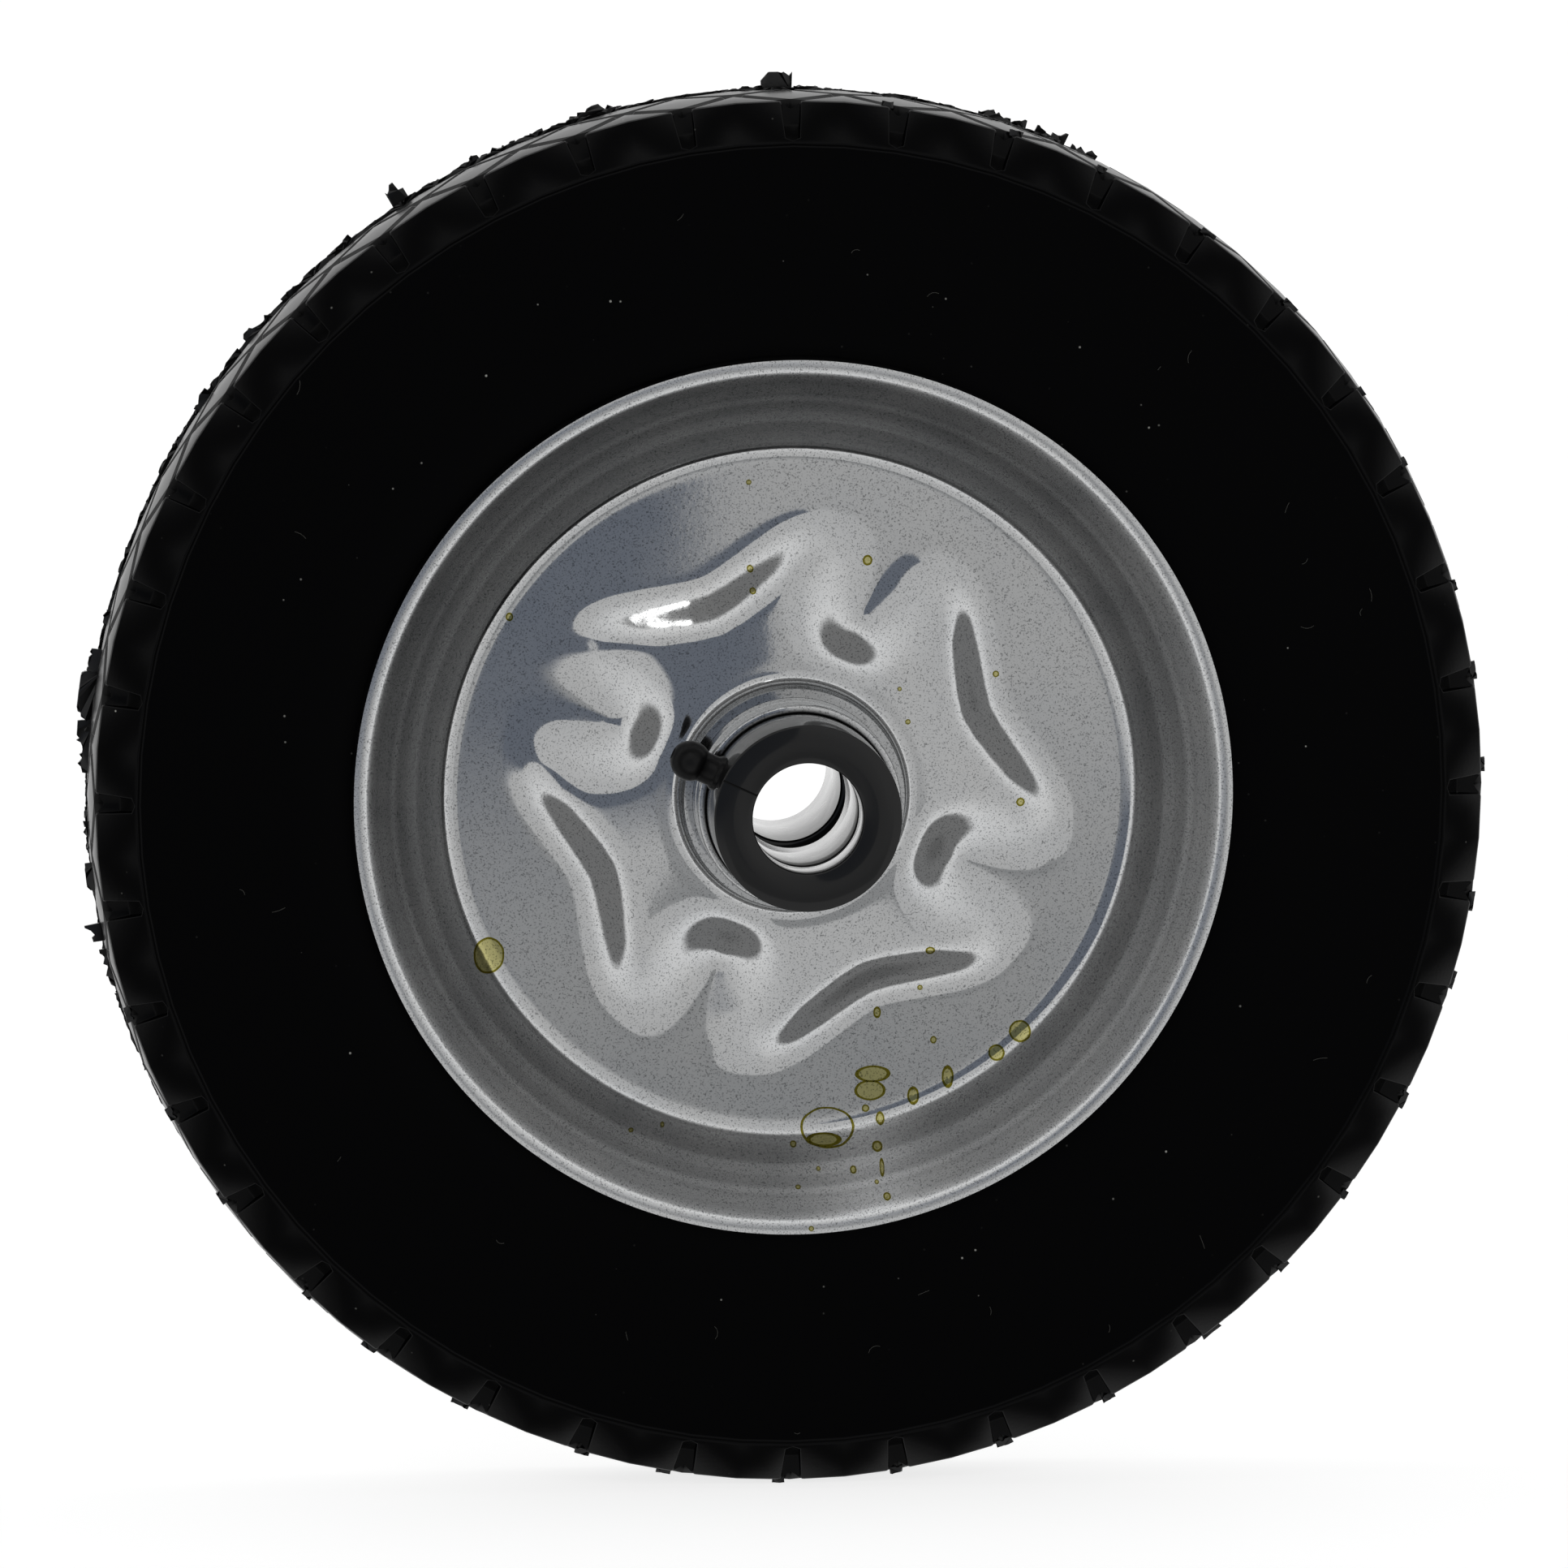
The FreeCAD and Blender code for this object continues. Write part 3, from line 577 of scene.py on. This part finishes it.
# Places in mm from the axle (right, up), then half width and half height
DROPS = (
    (-54.6, -29.4, 2.9, 3.3), (7.0, -61.9, 5.0, 3.7), (6.3, -64.0, 3.3, 1.2), (15.4, -52.3, 3.3, 1.55),
    (14.9, -55.3, 2.9, 1.9), (42.3, -44.8, 2.0, 2.0), (38.0, -48.7, 1.5, 1.5), (29.1, -53.0, 1.1, 2.1),
    (22.8, -56.4, 1.1, 1.7), (14.1, -58.6, 0.7, 0.7), (16.7, -60.4, 0.8, 1.2), (15.9, -65.1, 0.95, 0.95),
    (16.5, -68.6, 0.45, 1.6), (17.1, -73.4, 0.7, 0.7), (11.3, -69.0, 0.6, 0.7), (15.4, -71.0, 0.4, 0.4),
    (0.7, -64.7, 0.6, 0.6), (5.0, -68.8, 0.4, 0.4), (1.1, -71.8, 0.5, 0.4), (3.1, -78.8, 0.5, 0.5),
    (25.5, -29.2, 0.9, 0.7), (26.5, -46.2, 0.6, 0.7), (14.4, 41.9, 0.9, 1.0), (-7.1, 40.8, 0.6, 0.7),
    (-6.8, 37.0, 0.6, 0.6), (-7.2, 56.4, 0.5, 0.5), (-50.7, 32.4, 0.7, 0.8), (42.0, -2.3, 0.8, 0.8),
    (37.8, 20.8, 0.6, 0.6), (19.7, 19.0, 0.4, 0.4), (21.2, 13.0, 0.5, 0.5), (-29.1, -61.3, 0.5, 0.4),
    (-23.2, -60.7, 0.4, 0.5), (24.0, -36.5, 0.5, 0.5), (16.2, -41.0, 0.7, 1.1),
)


def tinted_plating(name, tint):
    """The plating as it looks through a clear film of that tint."""
    film = zinc.copy()
    film.name = name
    tree = film.node_tree
    base = tree.nodes["Principled BSDF"].inputs["Base Color"]
    through = add_node(tree, "ShaderNodeMix", {
        "Factor": 1.0, "A": base.links[0].from_socket, "B": linear(tint),
    }, data_type="RGBA", blend_type="MULTIPLY")
    tree.links.new(through.outputs["Result"], base)
    return film


def join_pieces(pieces, name):
    """Joins pieces to one of that name."""
    select_only(pieces[0])
    for piece in pieces:
        piece.select_set(True)
    bpy.ops.object.join()
    whole = bpy.context.object
    whole.name = name
    whole.data.name = name
    return whole


# Dried oil: a yellow-olive film through which the metal still shows; its rim is thicker and darker.
oil_film = tinted_plating("dried_oil_film", "ece49e")
oil_rim = tinted_plating("dried_oil_rim", "968c2c")

drops = []
for number, (right, up, half_width, half_height) in enumerate(DROPS):
    centre = (right / 1000, DROPS_FROM, up / 1000)
    small = min(half_width, half_height)
    bpy.ops.object.select_all(action="DESELECT")
    bpy.ops.mesh.primitive_circle_add(vertices=DROP_CORNERS, radius=1, fill_type="NGON")
    drop = bpy.context.object
    drop.scale = (half_width / 1000, half_height / 1000, 1)
    drop.rotation_euler = (math.radians(90), 0, 0)
    drop.location = centre
    bpy.ops.object.transform_apply(location=True, rotation=True, scale=True)
    drop.data.materials.append(oil_film)
    drop.data.materials.append(oil_rim)
    bpy.ops.object.mode_set(mode="EDIT")
    bpy.ops.mesh.select_all(action="SELECT")
    bpy.ops.transform.vertex_random(offset=small * DROP_WOBBLE / 1000, uniform=1.0, seed=number)
    bpy.ops.mesh.vertices_smooth(factor=0.5, repeat=1)
    bpy.ops.mesh.select_mode(type="FACE")
    inside = max(LEAST_INSIDE, 1 - RIM_WIDTH / small)
    bpy.ops.mesh.inset(thickness=HAIRLINE)
    bpy.ops.transform.resize(value=(inside, 1, inside), center_override=centre)
    bpy.ops.mesh.select_all(action="INVERT")
    drop.active_material_index = 1
    bpy.ops.object.material_slot_assign()
    bpy.ops.mesh.select_all(action="INVERT")
    if number == HOLLOW_DROP:
        bpy.ops.mesh.delete(type="ONLY_FACE")
    else:
        for shrink in INNER_RINGS:
            bpy.ops.mesh.inset(thickness=HAIRLINE)
            bpy.ops.transform.resize(value=(shrink, 1, shrink), center_override=centre)
        bpy.ops.mesh.poke()
    bpy.ops.mesh.select_mode(type="VERT")
    bpy.ops.object.mode_set(mode="OBJECT")
    drops.append(drop)
dried_drops = join_pieces(drops, "dried_drops")
apply_modifier(
    dried_drops, "SHRINKWRAP", target=front_disc, wrap_method="PROJECT", wrap_mode="ABOVE_SURFACE",
    offset=DROP_LIFT, use_project_y=True, use_positive_direction=True, use_negative_direction=False,
)
apply_modifier(dried_drops, "SOLIDIFY", thickness=DROP_FILM, offset=-1)
bpy.ops.object.shade_smooth_by_angle(angle=math.radians(40))
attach(dried_drops, "wheel")


# Tyre: one solid ring of moulded black rubber, gripped between the two dishes.
# The mould leaves a diamond tread, slots across each shoulder and a fine step line on the sidewall.

SHOULDER_FROM = 0.1172
SCRUBBED_FROM = 0.1257
MOULD_ROUND = 0.00025
SHARP_EDGE = math.radians(18)
FLAT_WITHIN = math.radians(1)
SLIVER = 5e-6

# Moulded rubber: near black and dull, with white dust specks of up to 0.5 mm, thick and thin, in patches.
rubber, tree, shader = new_material("moulded_black_rubber")
place = add_node(tree, "ShaderNodeTexCoord", {}).outputs["Object"]
dust = add_node(tree, "ShaderNodeTexVoronoi", {"Vector": place, "Scale": 1 / 0.0036})
thickness = add_node(tree, "ShaderNodeMath", {0: dust.outputs["Color"], 1: 4.0}, operation="POWER")
patchy = add_node(tree, "ShaderNodeTexNoise", {"Vector": place, "Scale": 1 / 0.03, "Detail": 2.0})
speck = add_node(tree, "ShaderNodeMapRange", {
    "Value": dust.outputs["Distance"], "From Min": 0.07, "From Max": 0.03, "To Min": 0.0, "To Max": 1.0,
})
where = add_node(tree, "ShaderNodeMapRange", {
    "Value": patchy.outputs["Fac"], "From Min": 0.4, "From Max": 0.6, "To Min": 0.1, "To Max": 3.0,
})
lying = add_node(tree, "ShaderNodeMath", {
    0: speck.outputs["Result"], 1: where.outputs["Result"],
}, operation="MULTIPLY")
amount = add_node(tree, "ShaderNodeMath", {
    0: lying.outputs["Value"], 1: thickness.outputs["Value"],
}, operation="MULTIPLY")
dusty = add_node(tree, "ShaderNodeMix", {
    "Factor": amount.outputs["Value"], "A": linear("040405"), "B": linear("b8b8b2"),
}, data_type="RGBA")
grain = add_node(tree, "ShaderNodeTexNoise", {"Vector": place, "Scale": 1 / 0.0006, "Detail": 3.0})
rough = add_node(tree, "ShaderNodeBump", {
    "Height": grain.outputs["Fac"], "Strength": 0.12, "Distance": 0.0001,
})
tree.links.new(dusty.outputs["Result"], shader.inputs["Base Color"])
tree.links.new(rough.outputs["Normal"], shader.inputs["Normal"])
shader.inputs["Specular IOR Level"].default_value = 0.035
shader.inputs["Roughness"].default_value = 0.28


def worn_rubber(name, shine):
    """The same rubber, rubbed to more shine."""
    worn = rubber.copy()
    worn.name = name
    worn.node_tree.nodes["Principled BSDF"].inputs["Specular IOR Level"].default_value = shine
    return worn


# The tops of the tread are scrubbed shiny and the shoulders rubbed a little.
# The sides keep the mould's dull skin.
shoulder_rubber = worn_rubber("rubbed_black_rubber", 0.09)
scrubbed_rubber = worn_rubber("scrubbed_black_rubber", 0.5)

tyre = copy_solid("rubber_tyre", "tyre")
bpy.ops.mesh.dissolve_limited(angle_limit=FLAT_WITHIN)
bpy.ops.object.mode_set(mode="OBJECT")
apply_modifier(
    tyre, "BEVEL", width=MOULD_ROUND, segments=2, limit_method="ANGLE", angle_limit=SHARP_EDGE,
)
bpy.ops.object.mode_set(mode="EDIT")
bpy.ops.mesh.select_all(action="SELECT")
bpy.ops.mesh.dissolve_degenerate(threshold=SLIVER)
bpy.ops.object.mode_set(mode="OBJECT")
dress(tyre, rubber, angle=32)
tyre.data.materials.append(shoulder_rubber)
tyre.data.materials.append(scrubbed_rubber)
for face in tyre.data.polygons:
    face_radius = math.hypot(face.center.x, face.center.z)
    face.material_index = (face_radius > SHOULDER_FROM) + (face_radius > SCRUBBED_FROM)
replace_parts(tyre, "tyre")


# Mould flash: thin ragged skins of the tyre's rubber, left standing on the tread where the mould closed.
# Most of it was trimmed or has torn off. What is left stands as single flakes, low nubs and a ragged seam.

TREAD_TOP = 0.1268
FLASH_ROOT = 0.001
FLASH_MERGE_GAP = 1e-6
TEETH_PER_MM = 1.8
LEAST_TEETH = 5
TOOTH_SHIFT = 0.3
TOOTH_LEAN = 0.3
LEAST_TOOTH = 0.1
# The first tooth, and how far the next may fall or rise, as shares of the flake's height
FIRST_TOOTH = 0.4
TOOTH_CHANGE = (-0.45, 0.5)
# Degrees round the wheel, length along the tread, height, place across the tread and thickness, in mm
FLASH = (
    (-176.5, 5.0, 1.2, 3, 0.4), (-173.0, 6.0, 1.3, 2, 0.5), (-168.6, 3.4, 3.0, 1, 0.7),
    (-165.5, 7.0, 1.3, 2, 0.4), (-162.5, 4.0, 1.0, 1, 0.4), (-190.8, 5.0, 1.9, 4, 0.6),
    (-187.6, 11.0, 2.7, 4, 1.0), (-183.8, 10.0, 2.2, 4, 0.8), (-194.5, 3.0, 1.4, 5, 0.4),
    (-210.5, 5.0, 1.0, 7, 0.4), (-214.0, 4.0, 1.2, 7, 0.4), (-221.5, 7.0, 1.3, 8, 0.5),
    (-226.0, 5.0, 1.4, 8, 0.4), (-231.0, 5.0, 1.1, 8, 0.4), (-237.0, 3.4, 4.0, 8, 0.8),
    (-245.5, 9.0, 1.7, 8, 0.5), (-254.5, 10.0, 1.6, 8, 0.6), (-269.6, 5.5, 2.7, 8, 0.6),
    (-272.0, 4.5, 2.0, 8, 0.5), (-288.5, 9.0, 1.5, 7, 0.6), (-292.5, 6.0, 2.0, 6, 0.7),
    (-295.5, 5.0, 1.7, 5, 0.5),
)
BLOCK_DEGREES = 4.5
NUB_BLOCKS = range(-36, 20, 2)
NUB_SHIFT = 1.6
NUB_LENGTHS = (1.6, 3.6)
NUB_HEIGHTS = (0.1, 0.3)
NUB_ACROSS = -8.4
NUB_THICKNESS = 0.6
SEAM_FROM = -152
SEAM_STEP = 3.1
SEAM_PIECES = 47
SEAM_LENGTH = 8.5
SEAM_HEIGHTS = (0.12, 0.6)
SEAM_ACROSS = 3
SEAM_SWAY = 5
SEAM_THICKNESS = 0.35

chance = random.Random(11)
# Low nubs where the slots' ends let the rubber through, along the front edge
nubs = [
    (
        BLOCK_DEGREES * block + chance.uniform(-NUB_SHIFT, NUB_SHIFT), chance.uniform(*NUB_LENGTHS),
        chance.uniform(*NUB_HEIGHTS), NUB_ACROSS, NUB_THICKNESS,
    )
    for block in NUB_BLOCKS
]
# A low ragged seam along the crown, on the side where less of it was trimmed
seam = [
    (
        SEAM_FROM - SEAM_STEP * piece, SEAM_LENGTH, chance.uniform(*SEAM_HEIGHTS),
        SEAM_ACROSS + SEAM_SWAY * math.sin(math.pi * piece / (SEAM_PIECES - 1)), SEAM_THICKNESS,
    )
    for piece in range(SEAM_PIECES)
]
flakes = []
for degrees, length, height, across_tread, thickness in FLASH + tuple(nubs + seam):
    turn = math.radians(degrees)
    out = Vector((math.cos(turn), 0, math.sin(turn)))
    along = Vector((-math.sin(turn), 0, math.cos(turn)))
    foot = out * TREAD_TOP + Vector((0, across_tread / 1000, 0))
    root = foot - out * FLASH_ROOT
    outline = [root - along * (length / 2000), root + along * (length / 2000)]
    teeth = max(LEAST_TEETH, int(length * TEETH_PER_MM))
    top = height * FIRST_TOOTH
    for tooth in range(teeth + 1):
        place_along = length * (0.5 - tooth / teeth) + TOOTH_SHIFT * chance.uniform(-1, 1)
        top = min(height, max(LEAST_TOOTH, top + height * chance.uniform(*TOOTH_CHANGE)))
        lean = Vector((0, chance.uniform(-TOOTH_LEAN, TOOTH_LEAN) / 1000, 0))
        outline.append(foot + along * (place_along / 1000) + out * (top / 1000) + lean)
    flake = draw_line("flake", outline + outline[:1])
    bpy.ops.mesh.select_all(action="SELECT")
    bpy.ops.mesh.remove_doubles(threshold=FLASH_MERGE_GAP)
    bpy.ops.mesh.edge_face_add()
    bpy.ops.mesh.extrude_region_move(TRANSFORM_OT_translate={"value": (0, thickness / 1000, 0)})
    bpy.ops.mesh.select_all(action="SELECT")
    bpy.ops.mesh.normals_make_consistent(inside=False)
    bpy.ops.mesh.quads_convert_to_tris()
    bpy.ops.object.mode_set(mode="OBJECT")
    flakes.append(flake)
mould_flash = join_pieces(flakes, "mould_flash")
dress(mould_flash, scrubbed_rubber, angle=20)


# Lint: short grey cotton fibres and dust hairs from a cloth or a shelf.
# They cling flat to the front sidewall by static, in no order.

SIDEWALL_FACE = -0.01475
LINT_COUNT = 26
LINT_FROM, LINT_TO = 0.094, 0.117
LINT_LINKS = 4
LINT_BEND = 0.9
LINT_STRIDES = (0.0002, 0.0007)
LINT_RADIUS = 0.00005

# Lint fibre: dull grey cotton.
lint_grey, tree, shader = new_material("grey_cotton_lint")
shader.inputs["Base Color"].default_value = linear("4c4c48")
shader.inputs["Roughness"].default_value = 0.9

hairs = []
for number in range(LINT_COUNT):
    turn = chance.uniform(0, math.tau)
    radius = math.sqrt(chance.uniform(LINT_FROM ** 2, LINT_TO ** 2))
    heading = chance.uniform(0, math.tau)
    bend = chance.uniform(-LINT_BEND, LINT_BEND)
    stride = chance.uniform(*LINT_STRIDES)
    spot = Vector((radius * math.cos(turn), SIDEWALL_FACE, radius * math.sin(turn)))
    course = [spot]
    for link in range(LINT_LINKS):
        spot = spot + Vector((math.cos(heading), 0, math.sin(heading))) * stride
        course.append(spot)
        heading += bend / 2
    draw_line("hair", course)
    bpy.ops.object.mode_set(mode="OBJECT")
    bpy.ops.object.convert(target="CURVE")
    bpy.context.object.data.bevel_depth = LINT_RADIUS
    bpy.context.object.data.bevel_resolution = 1
    bpy.context.object.data.use_fill_caps = True
    bpy.ops.object.convert(target="MESH")
    hairs.append(bpy.context.object)
lint = join_pieces(hairs, "lint_fibres")
dress(lint, lint_grey)


# Studio: a pale matt floor under the tyre, and a tent of soft white light all round it.
# The plating mirrors the tent's bands, two cards and a lamp; the eye sees plain white behind the wheel.

TYRE_RADIUS = 0.127
FLOOR_SIZE = 10
FLOOR_GLOW = 0.78
CARD_LOW_EDGE = -0.5

bpy.ops.object.select_all(action="DESELECT")
bpy.ops.mesh.primitive_plane_add(size=FLOOR_SIZE, location=(0, 0, -TYRE_RADIUS))
floor = bpy.context.object
floor.name = "pale_floor"
floor.visible_glossy = False


def seen_plainly(tree):
    """A socket that is 1 for what the eye sees straight or through glass."""
    path = add_node(tree, "ShaderNodeLightPath", {})
    plain = add_node(tree, "ShaderNodeMath", {
        0: path.outputs["Is Camera Ray"], 1: path.outputs["Is Transmission Ray"],
    }, operation="MAXIMUM")
    return plain.outputs["Value"]


# Matt white paper: it takes the wheel's shadow, and glows to the eye so that it meets the white behind.
pale, tree, shader = new_material("pale_matt_floor")
tree.nodes.remove(shader)
level = add_node(tree, "ShaderNodeMath", {0: seen_plainly(tree), 1: FLOOR_GLOW}, operation="MULTIPLY")
glow = add_node(tree, "ShaderNodeEmission", {"Strength": level.outputs["Value"]})
matt = add_node(tree, "ShaderNodeBsdfDiffuse", {"Color": linear("b4b4b4")})
both = add_node(tree, "ShaderNodeAddShader", {0: glow.outputs[0], 1: matt.outputs[0]})
tree.links.new(both.outputs[0], tree.nodes["Material Output"].inputs["Surface"])
floor.data.materials.append(pale)


def stage_mirrored(light, name, colour, strength, fade_end=None):
    """Makes a stage object glow for mirrored rays alone; a fade end fades it towards its own lower edge."""
    light.name = name
    light.visible_camera = False
    light.visible_diffuse = False
    light.visible_shadow = False
    light.visible_transmission = False
    material, tree, shader = new_material(name)
    tree.nodes.remove(shader)
    surface = add_node(tree, "ShaderNodeEmission", {"Color": linear(colour), "Strength": strength})
    if fade_end is not None:
        place = add_node(tree, "ShaderNodeTexCoord", {}).outputs["Object"]
        split = add_node(tree, "ShaderNodeSeparateXYZ", {"Vector": place})
        fade = add_node(tree, "ShaderNodeMapRange", {
            "Value": split.outputs["Y"], "From Min": CARD_LOW_EDGE, "From Max": fade_end,
            "To Min": 0.0, "To Max": 1.0,
        })
        gone = add_node(tree, "ShaderNodeBsdfTransparent", {})
        surface = add_node(tree, "ShaderNodeMixShader", {
            0: fade.outputs["Result"], 1: gone.outputs[0], 2: surface.outputs[0],
        })
    tree.links.new(surface.outputs[0], tree.nodes["Material Output"].inputs["Surface"])
    light.data.materials.append(material)


# A slate card beside the lens and a grey one below it, seen only where a glossy face mirrors them
UPRIGHT = math.radians(90)
CARDS = (
    ("slate_card", "757b86", (-0.18, -0.6, 0.0), (UPRIGHT, 0, 0), (0.44, 0.26, 1), -0.27),
    ("grey_card", "a2a3a4", (0.06, -0.59, -0.12), (UPRIGHT, math.pi, 0), (0.22, 0.13, 1), 0.2),
)
for name, colour, spot, turn, size, fade_end in CARDS:
    bpy.ops.object.select_all(action="DESELECT")
    bpy.ops.mesh.primitive_plane_add(size=1, location=spot, rotation=turn)
    bpy.context.object.scale = size
    stage_mirrored(bpy.context.object, name, colour, 1.0, fade_end)

# A round lamp high in front, seen only where a glossy face mirrors it
LAMP_RADIUS = 0.05
LAMP_AT = (-0.106, -0.755, 0.925)
LAMP_STRENGTH = 2.6
bpy.ops.object.select_all(action="DESELECT")
bpy.ops.mesh.primitive_uv_sphere_add(radius=LAMP_RADIUS, location=LAMP_AT)
stage_mirrored(bpy.context.object, "round_lamp", "ffffff", LAMP_STRENGTH)

# The tent's light, by degrees from its front
TENT_FRONT = Vector((0.05, -1.0, -0.074)).normalized()
LIGHT_LEVEL = 1.2
TENT_BANDS = (
    (0.0, 0.53), (5, 0.53), (10, 0.64), (34, 0.7), (46, 0.9), (51, 1.0), (54, 0.24), (64, 0.24),
    (68, 0.15), (86, 0.15), (92, 1.0), (108, 1.0), (116, 0.5), (142, 0.5), (152, 1.0), (180, 1.0),
)
world = bpy.data.worlds.new("white_tent")
bpy.context.scene.world = world
world.use_nodes = True
tree = world.node_tree
tree.nodes.clear()
direction = add_node(tree, "ShaderNodeTexCoord", {}).outputs["Generated"]
ahead = add_node(tree, "ShaderNodeVectorMath", {0: direction, 1: TENT_FRONT}, operation="DOT_PRODUCT")
facing = add_node(tree, "ShaderNodeMapRange", {
    "Value": ahead.outputs["Value"], "From Min": 1.0, "From Max": -1.0, "To Min": 0.0, "To Max": 1.0,
})
ramp = add_node(tree, "ShaderNodeValToRGB", {"Fac": facing.outputs["Result"]})
bands = ramp.color_ramp.elements
while len(bands) < len(TENT_BANDS):
    bands.new(0.5)
for band, (degrees, light) in zip(bands, TENT_BANDS):
    band.position = (1 - math.cos(math.radians(degrees))) / 2
    band.color = [light / LIGHT_LEVEL] * 3 + [1.0]
tent = add_node(tree, "ShaderNodeBackground", {"Color": ramp.outputs["Color"], "Strength": LIGHT_LEVEL})
white = add_node(tree, "ShaderNodeBackground", {"Color": (1, 1, 1, 1), "Strength": 1.0})
sky = add_node(tree, "ShaderNodeMixShader", {
    0: seen_plainly(tree), 1: tent.outputs[0], 2: white.outputs[0],
})
add_node(tree, "ShaderNodeOutputWorld", {"Surface": sky.outputs[0]})

# The camera, a long lens a little to the left and above
AZIMUTH, ELEVATION = math.radians(-5.67), math.radians(8.156)
DISTANCE = 3.5
LENS = 442.48
SENSOR = 36
SIDE_OFFSET, UP_OFFSET = -0.000277, 0.000393
bpy.ops.object.camera_add()
camera = bpy.context.object
towards = Vector((
    math.sin(AZIMUTH) * math.cos(ELEVATION), -math.cos(AZIMUTH) * math.cos(ELEVATION), math.sin(ELEVATION),
))
aim = (-towards).to_track_quat("-Z", "Y")
camera.rotation_mode = "QUATERNION"
camera.rotation_quaternion = aim
camera.location = towards * DISTANCE + aim @ Vector((SIDE_OFFSET, UP_OFFSET, 0))
camera.data.sensor_width = SENSOR
camera.data.lens = LENS
camera.data.clip_end = 100
bpy.context.scene.camera = camera
bpy.context.scene.view_settings.view_transform = "Standard"
